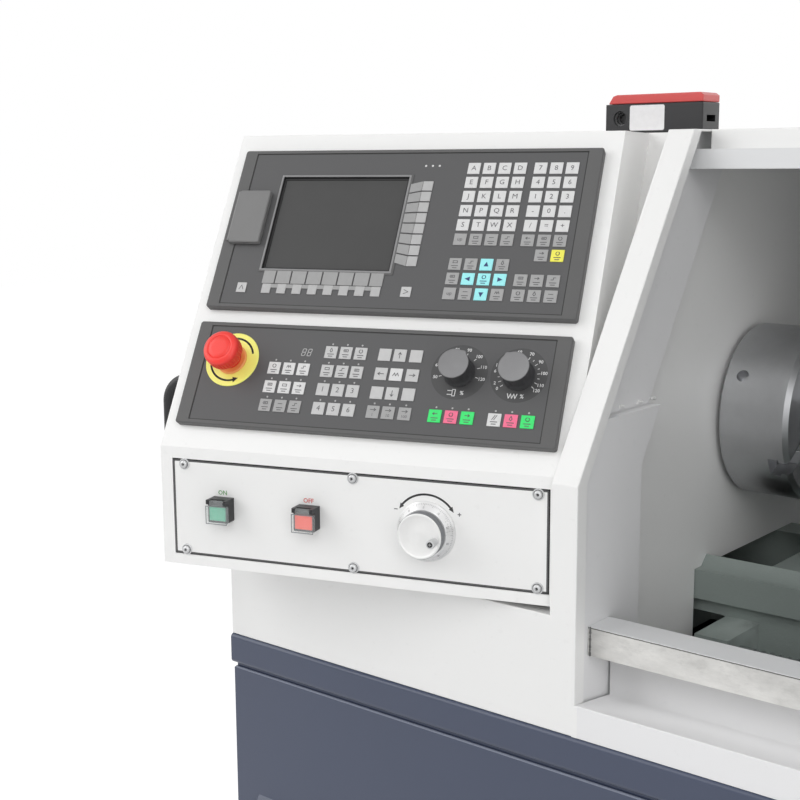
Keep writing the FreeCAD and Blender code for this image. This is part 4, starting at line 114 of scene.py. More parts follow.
def gathered(parts):
    # several (points, faces) parts as one, with the faces counted on
    points, faces, start = [], [], 0
    for partPoints, partFaces in parts:
        flat = np.asarray(partPoints, float).reshape(-1, 3)
        points.append(flat)
        faces += [tuple(int(k) + start for k in f) for f in partFaces]
        start += len(flat)
    return np.concatenate(points), faces


def turned(profile, segments=64, wave=None):
    # x = r cos t, y = r sin t, z = h, for each (r, h) of the profile; wave(t, r, h) changes r
    profile = np.asarray(profile, float)
    t = np.linspace(0, 2 * np.pi, segments, endpoint=False)
    r = np.repeat(profile[:, :1], segments, 1)
    h = np.repeat(profile[:, 1:], segments, 1)
    if wave:
        r = wave(t[None, :], r, h)
    points = np.stack([r * np.cos(t), r * np.sin(t), h], -1)
    return points.reshape(-1, 3), ringFaces(len(profile), segments)


def slabs(outlines, low, high):
    # each four-cornered outline (k, 4, 2) stands from low to high: eight corners, six faces
    outlines = np.asarray(outlines, float)
    count = len(outlines)
    levels = np.stack([np.full((count, 4), low), np.full((count, 4), high)], 1)
    points = np.concatenate([np.repeat(outlines[:, None], 2, 1), levels[..., None]], -1)
    pattern = np.array([[3, 2, 1, 0], [4, 5, 6, 7], [0, 1, 5, 4], [1, 2, 6, 5], [2, 3, 7, 6], [3, 0, 4, 7]])
    faces = (pattern[None] + np.arange(count)[:, None, None] * 8).reshape(-1, 4)
    return points.reshape(-1, 3), faces


def corners(left, right, low, high):
    return np.array([(left, low), (right, low), (right, high), (left, high)])


def rectangle(u, v, width, height):
    return corners(u - width / 2, u + width / 2, v - height / 2, v + height / 2)


def inset(outline, step):
    # a rectangle's corners, each moved inwards by step along both sides
    return outline + step * np.array([(1, 1), (-1, 1), (-1, -1), (1, -1)])


def stepped(outline, loops):
    # a rectangular frame: the outline at each (inset, level), joined ring to ring
    rings = [np.column_stack([inset(outline, step), np.full(4, level)]) for step, level in loops]
    return np.concatenate(rings), ringFaces(len(loops), 4)


def polar(u, v, radius, angle):
    return u + radius * math.cos(angle), v + radius * math.sin(angle)


def arrowHead(u, v, radius, angle, half, ahead, level):
    # a triangle across an arc about (u, v), with its tip further round by ahead
    spots = ((radius - half, angle), (radius + half, angle), (radius, angle + ahead))
    return [(*polar(u, v, *spot), level) for spot in spots], [(0, 1, 2)]


def ribbon(line, width, level, closed=False, overlap=0.35):
    # each stretch of a polyline as a flat quad of even width, lengthened by overlap widths at both ends
    line = np.asarray(line, float)
    start = line if closed else line[:-1]
    end = np.roll(line, -1, 0) if closed else line[1:]
    along = end - start
    along /= np.linalg.norm(along, axis=1, keepdims=True) + 1e-12
    side = np.stack([-along[:, 1], along[:, 0]], -1) * width / 2
    ahead = along * width * overlap
    quads = np.stack([start - ahead - side, end + ahead - side, end + ahead + side, start - ahead + side], 1)
    points = np.concatenate([quads, np.full(quads.shape[:2] + (1,), level)], -1).reshape(-1, 3)
    return points, np.arange(len(points)).reshape(-1, 4)


def disc(u, v, radius, level, segments=24):
    # a flat round spot: a fan of its rim points
    t = np.linspace(0, 2 * np.pi, segments, endpoint=False)
    points = np.stack([u + radius * np.cos(t), v + radius * np.sin(t), np.full(segments, level)], -1)
    return points, [tuple(range(segments))]


def arcLine(u, v, radius, fromDegrees, toDegrees, steps=32):
    t = np.radians(np.linspace(fromDegrees, toDegrees, steps))
    return np.stack([u + radius * np.cos(t), v + radius * np.sin(t)], -1)


def bead(line, radius, lumps=0.0, sides=8):
    # a round bead along a space line, closed at both ends
    # the k-th ring's radius is radius * (1 + lumps * sin(2.4 k) * cos(1.1 k))
    line = np.asarray(line, float)
    spans = np.linalg.norm(np.diff(line, axis=0), axis=1)
    steps = np.maximum((spans / max(radius * 1.5, 0.8)).astype(int), 1) if lumps else np.ones(len(spans), int)
    stretches = [np.linspace(a, b, n, endpoint=False) for a, b, n in zip(line[:-1], line[1:], steps)]
    centres = np.concatenate(stretches + [line[-1:]])
    along = np.gradient(centres, axis=0)
    along /= np.linalg.norm(along, axis=1, keepdims=True)
    side = np.cross(along, np.array([0.83, 0.31, 0.46]))
    side /= np.linalg.norm(side, axis=1, keepdims=True)
    over = np.cross(along, side)
    t = np.linspace(0, 2 * np.pi, sides, endpoint=False)
    k = np.arange(len(centres))
    reach = radius * (1 + lumps * np.sin(2.4 * k) * np.cos(1.1 * k))
    ring = side[:, None] * np.cos(t)[None, :, None] + over[:, None] * np.sin(t)[None, :, None]
    points = (centres[:, None] + ring * reach[:, None, None]).reshape(-1, 3)
    faces = [tuple(face) for face in ringFaces(len(centres), sides)]
    last = (len(centres) - 1) * sides
    return points, faces + [tuple(range(sides))[::-1], tuple(range(last, last + sides))]


def roundedOutline(left, right, low, high, radius, steps=6):
    # a rectangle's outline with quarter circles at its corners
    spots = [(right - radius, high - radius, 0), (left + radius, high - radius, 90),
             (left + radius, low + radius, 180), (right - radius, low + radius, 270)]
    return np.concatenate([arcLine(u, v, radius, start, start + 90, steps) for u, v, start in spots])


def lettering(text, u, v, size, level, turn=0.0, bold=0.0):
    # a word or figure as a flat mesh, centred on (u, v) and turned by turn degrees
    curve = bpy.data.curves.new("letter", "FONT")
    curve.body, curve.size, curve.offset = text, size, bold
    curve.align_x, curve.align_y, curve.resolution_u = "CENTER", "CENTER", 2
    holder = bpy.data.objects.new("letter", curve)
    mesh = bpy.data.meshes.new_from_object(holder)
    points = np.zeros(len(mesh.vertices) * 3)
    mesh.vertices.foreach_get("co", points)
    points = points.reshape(-1, 3)
    faces = [tuple(p.vertices) for p in mesh.polygons]
    a = math.radians(turn)
    x = points[:, 0] * math.cos(a) - points[:, 1] * math.sin(a) + u
    y = points[:, 0] * math.sin(a) + points[:, 1] * math.cos(a) + v
    bpy.data.objects.remove(holder)
    bpy.data.curves.remove(curve)
    bpy.data.meshes.remove(mesh)
    return np.stack([x, y, np.full(len(x), level)], -1), faces


mergeDistance = 2e-6  # metres


def placed(name, data):
    # a new object at the origin, in the scene
    made = bpy.data.objects.new(name, data)
    bpy.context.scene.collection.objects.link(made)
    return made


def addPiece(name, parts, matrix, body, finish, stands=(), tints=None, weld=True, crease=32.0):
    # parts in matrix's own millimetres become one mesh in the row frame; tints holds a colour for each part
    points, faces = gathered(parts)
    mesh = bpy.data.meshes.new(name)
    mesh.from_pydata(carried(points, matrix).tolist(), [], faces)
    if tints is not None:
        counts = [np.size(part[0]) // 3 for part in parts]
        colours = np.repeat([(*tint, 1.0) for tint in tints], counts, axis=0)
        mesh.attributes.new("tint", "FLOAT_COLOR", "POINT").data.foreach_set("color", colours.ravel())
    if weld:
        shape = bmesh.new()
        shape.from_mesh(mesh)
        bmesh.ops.remove_doubles(shape, verts=shape.verts, dist=mergeDistance)
        bmesh.ops.recalc_face_normals(shape, faces=shape.faces)
        shape.to_mesh(mesh)
        shape.free()
    return finishedPiece(name, mesh, body, finish, stands, crease)


def finishedPiece(name, mesh, body, finish, stands=(), crease=32.0):
    mesh.polygons.foreach_set("use_smooth", np.ones(len(mesh.polygons), bool))
    if crease:
        mesh.set_sharp_from_angle(angle=math.radians(crease))
    mesh.materials.clear()
    mesh.materials.append(finish)
    piece = placed(name, mesh)
    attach(piece, body)
    if stands:
        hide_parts(*stands)
    return piece


def bevelled(piece, width, segments):
    rounding = piece.modifiers.new("rounding", "BEVEL")
    rounding.width, rounding.segments, rounding.limit_method = width, segments, "ANGLE"
    rounding.angle_limit = math.radians(40)
    rounding.harden_normals = True


def printed(name, parts, matrix, tints, body="machine", stands=()):
    # keys and flat prints: a list with a tint for each part, or one tint for all
    tints = tints if isinstance(tints, list) else [tints] * len(parts)
    return addPiece(name, parts, matrix, body, foil, stands, tints, weld=False)


# bends up to flat degrees are smoothed out, those from least degrees are rounded; length is in metres
foldRule = {"flat": 0.8, "least": 20.0, "length": 0.02, "segments": 3}


def softened(name, finish, radius, thin=0.0004, broad=0.007):
    # a copy of a CAD node with rounded folds: long edges between broad faces get radius, all others thin
    shape = bmesh.new()
    shape.from_mesh(nodes[name].data)
    bmesh.ops.remove_doubles(shape, verts=shape.verts, dist=mergeDistance)
    flat = math.radians(foldRule["flat"])
    bmesh.ops.dissolve_limit(shape, angle_limit=flat, verts=shape.verts, edges=shape.edges)
    layers = shape.edges.layers.float
    weights = layers.get("bevel_weight_edge") or layers.new("bevel_weight_edge")
    least = math.radians(foldRule["least"])
    for edge in shape.edges:
        if len(edge.link_faces) != 2:
            continue
        bend = edge.calc_face_angle_signed(0.0)
        edge.smooth = bend > -least  # hollow corners stay sharp
        if bend < least:
            continue
        length = max(edge.calc_length(), 1e-6)
        reach = min(face.calc_area() / length for face in edge.link_faces)
        edge[weights] = 1.0 if reach > broad and length > foldRule["length"] else thin / radius
    mesh = bpy.data.meshes.new(name + "Form")
    shape.to_mesh(mesh)
    shape.free()
    piece = finishedPiece(name + "Form", mesh, bodyOf[name], finish, (name,), None)
    rounding = piece.modifiers.new("rounding", "BEVEL")
    rounding.width, rounding.segments, rounding.limit_method = radius, foldRule["segments"], "WEIGHT"
    piece.modifiers.new("facing", "WEIGHTED_NORMAL").keep_sharp = True


def shade(red, green, blue):
    # a colour as it shows on a screen, 0 to 255, to the renderer's linear values
    c = np.array([red, green, blue]) / 255.0
    return tuple(np.where(c <= 0.04045, c / 12.92, ((c + 0.055) / 1.055) ** 2.4))


class Signal:
    # one output of a node; arithmetic on it adds Math nodes
    def __init__(self, builder, socket):
        self.builder = builder
        self.socket = socket

    def maths(self, operation, *values):
        return self.builder.node("ShaderNodeMath", {"operation": operation}, dict(enumerate(values)))

    def __add__(self, other):
        return self.maths("ADD", self, other)

    def __radd__(self, other):
        return self.maths("ADD", other, self)

    def __sub__(self, other):
        return self.maths("SUBTRACT", self, other)

    def __rsub__(self, other):
        return self.maths("SUBTRACT", other, self)

    def __mul__(self, other):
        return self.maths("MULTIPLY", self, other)

    def __rmul__(self, other):
        return self.maths("MULTIPLY", other, self)


class NodeTree:
    # the nodes of a material or of the world
    def __init__(self, owner, ending):
        owner.use_nodes = True
        self.tree = owner.node_tree
        self.tree.nodes.clear()
        self.output = self.tree.nodes.new(ending)

    def end(self, signal):
        self.tree.links.new(signal.socket, self.output.inputs["Surface"])

    def ray(self, kind):
        # 1 for camera, glossy or transmission rays, 0 for all others
        return self.node("ShaderNodeLightPath", {}, {}, "Is %s Ray" % kind)

    def feed(self, socket, value):
        if isinstance(value, Signal):
            self.tree.links.new(value.socket, socket)
        elif hasattr(value, "__len__") and len(value) == 3 and socket.type == "RGBA":
            socket.default_value = (*value, 1.0)
        else:
            socket.default_value = value

    def node(self, kind, settings, inputs, output=0):
        made = self.tree.nodes.new(kind)
        for key, value in settings.items():
            setattr(made, key, value)
        for key, value in inputs.items():
            self.feed(made.inputs[key], value)
        return Signal(self, made.outputs[output])


class Recipe(NodeTree):
    # one material, whose main shader is set last
    def __init__(self, name):
        self.material = bpy.data.materials.new(name)
        super().__init__(self.material, "ShaderNodeOutputMaterial")
        self.shader = self.tree.nodes.new("ShaderNodeBsdfPrincipled")
        self.end(Signal(self, self.shader.outputs[0]))

    def here(self):
        return self.node("ShaderNodeTexCoord", {}, {}, "Object")

    def noise(self, scale, detail=4.0, rough=0.55, stretch=(1, 1, 1)):
        where = self.node("ShaderNodeMapping", {}, {"Vector": self.here(), "Scale": stretch})
        inputs = {"Vector": where, "Scale": scale, "Detail": detail, "Roughness": rough}
        return self.node("ShaderNodeTexNoise", {}, inputs)

    def ramp(self, value, low, high):
        # 0 up to low, 1 from high on, straight between
        made = self.tree.nodes.new("ShaderNodeValToRGB")
        for element, position in zip(made.color_ramp.elements, (low, high)):
            element.position = position
        self.feed(made.inputs[0], value)
        return Signal(self, made.outputs[0])

    def mix(self, factor, first, second):
        return self.node("ShaderNodeMix", {"data_type": "RGBA"}, {0: factor, 6: first, 7: second}, 2)

    def bump(self, height, strength, distance):
        inputs = {"Height": height, "Strength": strength, "Distance": distance}
        return self.node("ShaderNodeBump", {}, inputs)

    def set(self, **inputs):
        # sockets of the main shader by name, with spaces written as underscores
        for key, value in inputs.items():
            self.feed(self.shader.inputs[key.replace("_", " ")], value)
        return self.material


def darker(colour, share):
    return tuple(np.array(colour) * share)


def paintedSheet(name, colour, rough, peel, cloud, coat):
    # sprayed and baked paint: faint orange peel, broad clouding, a few darker flecks
    r = Recipe(name)
    clouds = r.ramp(r.noise(2.3, 5.0), 0.3, 0.7)
    flecks = r.ramp(r.noise(140.0, 2.0), 0.66, 0.74)
    tone = r.mix(clouds, darker(colour, 1 - cloud), colour)
    tone = r.mix(flecks * 0.10, tone, darker(colour, 0.72))
    smear = r.noise(9.0, 6.0, 0.7, (1, 1, 0.25))
    return r.set(Base_Color=tone, Roughness=rough - 0.06 + smear * 0.14, Specular_IOR_Level=0.42,
                 Coat_Weight=coat, Coat_Roughness=0.28, Normal=r.bump(r.noise(420.0, 2.0), peel, 0.0004))


def castPaint(name, colour):
    # brushed-on enamel over a sand casting: coarse grain below, gloss on top
    r = Recipe(name)
    grain = r.noise(55.0, 6.0, 0.6)
    pits = r.ramp(r.noise(230.0, 3.0), 0.35, 0.5)
    tone = r.mix(r.noise(6.0, 5.0), darker(colour, 0.86), colour)
    return r.set(Base_Color=tone, Roughness=0.38 + grain * 0.16, Coat_Weight=0.15, Coat_Roughness=0.3,
                 Normal=r.bump(grain * 0.8 + pits * 0.2, 0.35, 0.0012))


def groundSteel(name, colour, rough, along=(1, 1, 1), line=0.16, metal=1.0):
    # ground or turned steel: fine grain, drawn out to lines where along is small, and patches of oil film
    r = Recipe(name)
    lines = r.noise(900.0, 3.0, 0.7, along)
    film = r.ramp(r.noise(7.0, 6.0, 0.65), 0.35, 0.68)
    tone = r.mix(film, colour, darker(colour, 0.82))
    return r.set(Base_Color=tone, Metallic=metal, Roughness=rough + lines * 0.14 + film * 0.1,
                 Normal=r.bump(lines, line, 0.00015))


def railCoat(name, bare, paint, paintedAbove):
    # bare drawn tube with cloudy scale; its top is painted, and a ragged dark line just under the paint's
    # edge is painted shade along the top's front edge
    r = Recipe(name)
    height = r.node("ShaderNodeSeparateXYZ", {}, {0: r.here()}, "Z")
    scale = r.noise(34.0, 6.0, 0.68, (0.35, 1, 1))
    stain = r.ramp(r.noise(60.0, 5.0, 0.75, (0.5, 1, 1)), 0.52, 0.72)
    tone = r.mix(r.ramp(scale, 0.3, 0.7), darker(bare, 0.66), bare)
    tone = r.mix(stain * 0.4, tone, darker(bare, 0.45))
    above = height + r.noise(220.0, 3.0, 0.7) * 0.0008 - paintedAbove
    top = r.ramp(above * 2000.0, 0.4, 0.6)
    # painted shade: a ragged dark line along the top's front edge
    edge = r.ramp((above + 0.0011) * 2000.0, 0.2, 0.8)
    tone = r.mix(edge, tone, darker(bare, 0.12))
    return r.set(Base_Color=r.mix(top, tone, paint), Metallic=0.45 - top * 0.45, Roughness=0.36 + scale * 0.2,
                 Normal=r.bump(scale, 0.1, 0.0004))


def polished(name, colour):
    # chromed or lapped steel under a faint haze
    r = Recipe(name)
    haze = r.noise(30.0, 6.0, 0.7)
    tone = r.mix(haze, colour, darker(colour, 0.93))
    return r.set(Base_Color=tone, Metallic=1.0, Roughness=0.08 + haze * 0.07,
                 Normal=r.bump(r.noise(600.0, 2.0), 0.03, 0.0001))


def mouldedPlastic(name, colour, rough=0.45, grain=900.0, depth=0.22, gloss=0.0, sheen=0.4):
    # injection-moulded plastic: spark-eroded grain, slightly shinier where it is handled
    r = Recipe(name)
    texture = r.noise(grain, 2.0, 0.5)
    touch = r.ramp(r.noise(18.0, 4.0), 0.4, 0.7)
    tone = r.mix(touch * 0.5, colour, darker(colour, 0.9))
    return r.set(Base_Color=tone, Roughness=rough - touch * 0.07 + texture * 0.06, Coat_Weight=gloss,
                 Coat_Roughness=0.1, Specular_IOR_Level=sheen, Normal=r.bump(texture, depth, 0.0002))


def printedFoil(name, colour, rough=0.42, sheen=0.3):
    # keypad foil: satin film with a very fine emboss and faint finger marks
    r = Recipe(name)
    film = r.noise(1500.0, 2.0)
    marks = r.ramp(r.noise(24.0, 6.0, 0.7), 0.48, 0.72)
    tone = r.mix(marks * 0.35, colour, darker(colour, 1.1))
    return r.set(Base_Color=tone, Roughness=rough + marks * 0.1, Specular_IOR_Level=sheen,
                 Normal=r.bump(film, 0.08, 0.0001))


def tintedFoil(name):
    # printed colour fields: the piece's own tint, with a slight unevenness in the ink
    r = Recipe(name)
    tint = r.node("ShaderNodeAttribute", {"attribute_name": "tint"}, {}, "Color")
    ink = r.noise(160.0, 3.0)
    tone = r.mix(ink * 0.14, tint, (0.0, 0.0, 0.0))
    return r.set(Base_Color=tone, Roughness=0.4 + ink * 0.08,
                 Normal=r.bump(r.noise(1300.0, 2.0), 0.06, 0.0001))


def clearPane(name, colour, alpha, rough):
    # clear plastic or glass, see-through by alpha so that it lights what is behind it
    r = Recipe(name)
    r.material.surface_render_method = "BLENDED"
    wipe = r.noise(14.0, 6.0, 0.7)
    return r.set(Base_Color=colour, Alpha=alpha + wipe * 0.05, Roughness=rough + wipe * 0.06,
                 Specular_IOR_Level=0.6, Normal=r.bump(wipe, 0.02, 0.0003))


def litLens(name, colour, glow):
    # translucent button lens: a fine grain under a glossy coat, with a weak glow in its own colour that is
    # painted light
    r = Recipe(name)
    grain = r.noise(700.0, 1.0)
    tone = r.mix(r.noise(90.0, 3.0), colour, darker(colour, 0.8))
    return r.set(Base_Color=tone, Roughness=0.22 + grain * 0.08, Coat_Weight=0.6, Coat_Roughness=0.06,
                 Emission_Color=tone, Emission_Strength=glow, Normal=r.bump(grain, 0.12, 0.0002))


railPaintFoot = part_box("door_rails")[0].z + 0.029
foil = tintedFoil("keyInk")
finishes = {
    "stand_blue": paintedSheet("standPaint", shade(60, 69, 92), 0.36, 0.10, 0.05, 0.3),
    "guard_white": paintedSheet("guardPaint", shade(244, 244, 243), 0.38, 0.10, 0.025, 0.15),
    "cabinet_grey": paintedSheet("cabinetPaint", shade(214, 214, 208), 0.42, 0.2, 0.04, 0.1),
    "tank_grey": paintedSheet("tankPaint", shade(112, 118, 128), 0.45, 0.2, 0.08, 0.1),
    "motor_black": castPaint("motorPaint", shade(48, 50, 55)),
    "casting": castPaint("castingPaint", shade(150, 160, 156)),
    "steel": groundSteel("turnedSteel", shade(196, 197, 199), 0.24, (0.05, 1, 1)),
    "rail_zinc": railCoat("railCoat", shade(226, 225, 222), shade(226, 227, 228), railPaintFoot),
    "chrome": polished("quillChrome", shade(214, 215, 217)),
    "plate_white": paintedSheet("plateCoat", shade(247, 247, 246), 0.3, 0.05, 0.03, 0.3),
    "panel_grey": mouldedPlastic("panelPlastic", shade(98, 98, 98), 0.5, 700.0, 0.2, sheen=0.3),
    "key_grey": printedFoil("keyFoil", shade(215, 215, 215)),
    "display": printedFoil("displayPane", shade(76, 76, 76), 0.34, 0.2),
    "black_plastic": mouldedPlastic("blackPlastic", shade(38, 38, 40), 0.36),
    "knob_grey": mouldedPlastic("knobPlastic", shade(62, 62, 64), 0.5),
    "stop_red": mouldedPlastic("stopRed", shade(250, 62, 54), 0.34, 500.0, 0.08, 0.1),
    "stop_yellow": mouldedPlastic("stopYellow", shade(255, 255, 132), 0.34, 500.0, 0.06, 0.1),
    "lens_green": litLens("greenLens", shade(84, 198, 160), 0.12),
    "lens_red": litLens("redLens", shade(255, 72, 36), 0.25),
    "clear": clearPane("clearGuard", shade(225, 230, 230), 0.14, 0.08),
    # the console housing's white: a lighter copy of the guard white, painted light that makes up for the
    # shade between its panels
    "console": paintedSheet("consoleLightenedPaint", shade(250, 250, 249), 0.38, 0.10, 0.025, 0.15),
    # the jamb liner's and sill's white: a darker copy of the guard white, painted shade for the inside of the
    # opening
    "liner": paintedSheet("linerShadedPaint", shade(238, 238, 239), 0.38, 0.10, 0.025, 0.15),
    "flap": mouldedPlastic("flapPlastic", shade(124, 124, 124), 0.42, 500.0, 0.15),
    "ring": groundSteel("ringAlloy", shade(232, 232, 232), 0.2, line=0.03, metal=0.7),
    "lid_red": mouldedPlastic("lidRed", shade(214, 80, 78), 0.34, 600.0, 0.1, 0.1),
    "window_clear": clearPane("doorPane", shade(214, 224, 222), 0.22, 0.03),
    "nylon": mouldedPlastic("glideNylon", shade(226, 222, 208), 0.5),
    "belt_rubber": mouldedPlastic("beltRubber", shade(34, 34, 35), 0.7, 1200.0, 0.3),
    "wheel_silver": groundSteel("wheelAlloy", shade(240, 240, 239), 0.32, line=0.03, metal=0.35),
    # the wheel's knurled side: a much darker copy of the wheel alloy, painted shade
    "knurl": groundSteel("wheelSideShade", shade(128, 130, 134), 0.36, line=0.05, metal=0.35),
    "crank": groundSteel("crankSteel", shade(214, 215, 216), 0.26, line=0.03, metal=0.6),
    "screw": groundSteel("screwSteel", shade(206, 207, 208), 0.26, line=0.05, metal=0.6),
    "cap": groundSteel("knobCap", shade(124, 124, 125), 0.42, line=0.05),
    "rim": mouldedPlastic("rimPlastic", shade(150, 150, 151), 0.32),
    "well": mouldedPlastic("wellPlastic", shade(30, 30, 31), 0.4),
    "collar": mouldedPlastic("collarAmber", shade(246, 168, 96), 0.34, 600.0, 0.05, 0.1),
    "bush": mouldedPlastic("bushPlastic", shade(74, 74, 75), 0.4),
    "field": printedFoil("keypadField", shade(90, 90, 91), 0.46),
}
slotOf = {entry["node"]: entry["material_slot"] for entry in frame["record"]["subparts"]}
for name, node in nodes.items():
    node.data.materials.clear()
    node.data.materials.append(finishes[slotOf[name]])
print("finishes made:", len(finishes))

# rounded folds for the sheet work and the castings that show, in metres
folds = {"base_cabinet": 0.0022, "headstock_hood": 0.0022, "tail_hood": 0.0022, "rear_guard": 0.0018,
         "console_housing": 0.0026, "sill_channel": 0.0016, "jamb_liner": 0.0014, "door_leaf": 0.0022,
         "electrical_cabinet": 0.002, "console_plate": 0.0007, "saddle": 0.002,
         "cross_slide": 0.0012, "turret_base": 0.0015, "turret_head": 0.001, "tailstock_body": 0.002,
         "headstock": 0.003, "bed": 0.002, "coolant_tank": 0.003, "interlock_switch": 0.0012,
         "interlock_lid": 0.0012, "chuck_jaw_1": 0.0008, "chuck_jaw_2": 0.0008, "chuck_jaw_3": 0.0008,
         "door_glides": 0.0015, "usb_cover": 0.0005, "upper_panel": 0.0006, "lower_panel": 0.0006}
# the jamb liner and sill take the darker copy of the guard white, which is painted shade
ownFinish = {"usb_cover": "flap", "console_housing": "console", "jamb_liner": "liner",
             "sill_channel": "liner"}
for name, radius in folds.items():
    softened(name, finishes[ownFinish.get(name, slotOf[name])], radius)
print("folds rounded:", len(folds))

# the keypad foils: where the keys and their marks lie, in panel millimetres
panel = {"fieldLevel": 8.2, "keyRise": 1.0, "keySize": 13.7, "keyEdge": 0.00022, "markLift": 0.09,
         "pitch": 17.2, "rowPitch": 17.3, "lampRise": 9.6, "gap": 0.7, "fieldLeft": -195.5,
         "fieldRight": 193.5, "upperLow": 167.2, "upperHigh": 358.7, "lowerLow": 29.4, "lowerHigh": 140.4,
         "letterLeft": 70.1, "numberLeft": 144.0, "topRow": 338.1, "cursorRows": (222.3, 205.2, 187.8)}
keyPrint = {"letters": {1: 8.2, 2: 6.0}, "symbol": 4.8, "symbolRise": 2.4, "line": 0.75, "bar": 0.9,
            "bars": ((3.4, 2.2), (2.2, 4.6))}
inks = {"white": (229, 229, 229), "light": (205, 205, 205), "grey": (171, 171, 171),
        "softLeft": (164, 164, 164), "softRight": (190, 190, 190), "cyan": (168, 252, 255),
        "yellow": (255, 250, 98), "green": (60, 240, 122), "pink": (255, 120, 156), "mark": (92, 92, 94),
        "navy": (38, 58, 110), "pale": (232, 232, 232),
        "dim": (186, 186, 186), "dial": (66, 66, 67), "black": (30, 30, 30)}
ink = {name: shade(*colour) for name, colour in inks.items()}

letterColumns = panel["letterLeft"] + panel["pitch"] * np.arange(4)
numberColumns = panel["numberLeft"] + panel["pitch"] * np.arange(3)
upperColumns = np.concatenate([letterColumns, numberColumns])
letterRows = panel["topRow"] - panel["rowPitch"] * np.arange(7)
keyTop = panel["fieldLevel"] + panel["keyRise"]
markLevel = keyTop + panel["markLift"]
foilLevel = panel["fieldLevel"] + panel["markLift"]
tickLevel = foilLevel + panel["markLift"]


def icon(kind, u, v, size):
    # small line drawings for the keys, as polylines about (u, v)
    a = size / 2
    lines = {
        "up": [[(0, -a), (0, a)], [(-a / 2, a / 3), (0, a), (a / 2, a / 3)]],
        "down": [[(0, a), (0, -a)], [(-a / 2, -a / 3), (0, -a), (a / 2, -a / 3)]],
        "left": [[(a, 0), (-a, 0)], [(-a / 3, a / 2), (-a, 0), (-a / 3, -a / 2)]],
        "right": [[(-a, 0), (a, 0)], [(a / 3, a / 2), (a, 0), (a / 3, -a / 2)]],
        "box": [[(-a, -a / 2), (a, -a / 2), (a, a / 2), (-a, a / 2), (-a, -a / 2)]],
        "door": [[(-a, -a / 2), (a, -a / 2), (a, a / 2), (-a, a / 2)], [(-a * 1.2, 0), (a / 3, 0)]],
        "wave": [[(-a, -a / 2), (-a / 2, a / 2), (0, -a / 2), (a / 2, a / 2), (a, -a / 2)]],
        "chevronUp": [[(-a, -a), (0, a), (a, -a)]],
        "chevronRight": [[(-a, a), (a, 0), (-a, -a)]],
        "slashes": [[(-a, -a), (a * 0.2, a)], [(-a * 0.1, -a), (a, a)]],
        "steps": [[(-a, -a / 2), (0, -a / 2), (0, a / 2), (a, a / 2)]],
        "drop": [[(0, a), (a * 0.6, -a * 0.3), (0, -a), (-a * 0.6, -a * 0.3), (0, a)]],
        "bar": [[(-a, 0), (a, 0)]],
        "jaws": [[(-a, a / 2.4), (0, a / 2.4)], [(-a, -a / 2.4), (0, -a / 2.4)],
                 [(0, -a * 0.7), (a * 0.6, -a * 0.7), (a * 0.6, a * 0.7), (0, a * 0.7), (0, -a * 0.7)]],
        "zigzag": [[(a * (k / 3 - 1), a * 0.5 * (-1) ** k) for k in range(7)]],
    }
    if kind == "ring":
        return [arcLine(u, v, a * 0.8, 110, 430, 20)]
    return [np.array(line) + (u, v) for line in lines[kind]]


keyOutlines, keyTints = [], []
markParts, markTints = [], []


def mark(tint, parts):
    markParts.extend(parts)
    markTints.extend([ink[tint]] * len(parts))


def drawn(kind, u, v, size, width, level=markLevel):
    return [ribbon(line, width, level) for line in icon(kind, u, v, size)]


def addKey(u, v, colour, label="", labelColour="mark", width=panel["keySize"], height=panel["keySize"]):
    # a key with one or two letters or figures, or with a symbol above two short plain bars
    keyOutlines.append(rectangle(u, v, width, height))
    keyTints.append(ink[colour])
    if len(label) in keyPrint["letters"]:
        mark(labelColour, [lettering(label, u, v, keyPrint["letters"][len(label)], markLevel)])
    elif label:
        mark(labelColour, drawn(label, u, v + keyPrint["symbolRise"], keyPrint["symbol"], keyPrint["line"]))
        mark(labelColour, [ribbon([(u - half, v - drop), (u + half, v - drop)], keyPrint["bar"], markLevel)
                           for half, drop in keyPrint["bars"]])


def keyPiece(name, stands):
    # the keys gathered so far become one piece with eased edges
    shapes = [slabs([outline], panel["fieldLevel"], keyTop) for outline in keyOutlines]
    bevelled(printed(name, shapes, onSlope, keyTints, stands=(stands,)), panel["keyEdge"], 1)
    print(name, len(shapes), "keys")
    keyOutlines.clear()
    keyTints.clear()


for v, figures in zip(letterRows, ("ABCD789", "EFGH456", "JKLM123", "NPQR-0.", "STWX/=+")):
    for u, figure in zip(upperColumns, figures):
        addKey(u, v, "white", figure)
for u, kind in zip(upperColumns, ("up", "box", "bar", "steps", "left", "door", "ring")):
    addKey(u, letterRows[5], "grey", kind)
addKey(numberColumns[1], letterRows[6], "grey", "right")
addKey(numberColumns[2], letterRows[6], "yellow", "ring")
cursorKinds = (("box", "steps", None, "drop", None, None, None),
               ("door", None, None, None, "door", "right", "steps"),
               ("up", "bar", None, "wave", "ring", "drop", "bar"))
for v, kinds in zip(panel["cursorRows"], cursorKinds):
    for u, kind in zip(upperColumns, kinds):
        if kind:
            addKey(u, v, "grey", kind)
for column, row, turn in ((2, 0, 90), (1, 1, 180), (3, 1, 0), (2, 2, 270)):
    u, v = letterColumns[column], panel["cursorRows"][row]
    addKey(u, v, "cyan")
    tip = [(*polar(u, v, 3.4, math.radians(turn + k)), markLevel) for k in (0, 130, 230)]
    mark("navy", [(tip, [(0, 1, 2)])])
addKey(letterColumns[2], panel["cursorRows"][1], "cyan", "ring", "navy")
for kind, u, v in (("chevronUp", -172.5, 187.5), ("chevronRight", 21.8, 188.0)):
    addKey(u, v, "light", width=11.4, height=11.8)
    mark("mark", drawn(kind, u, v, 5.0, 0.7))

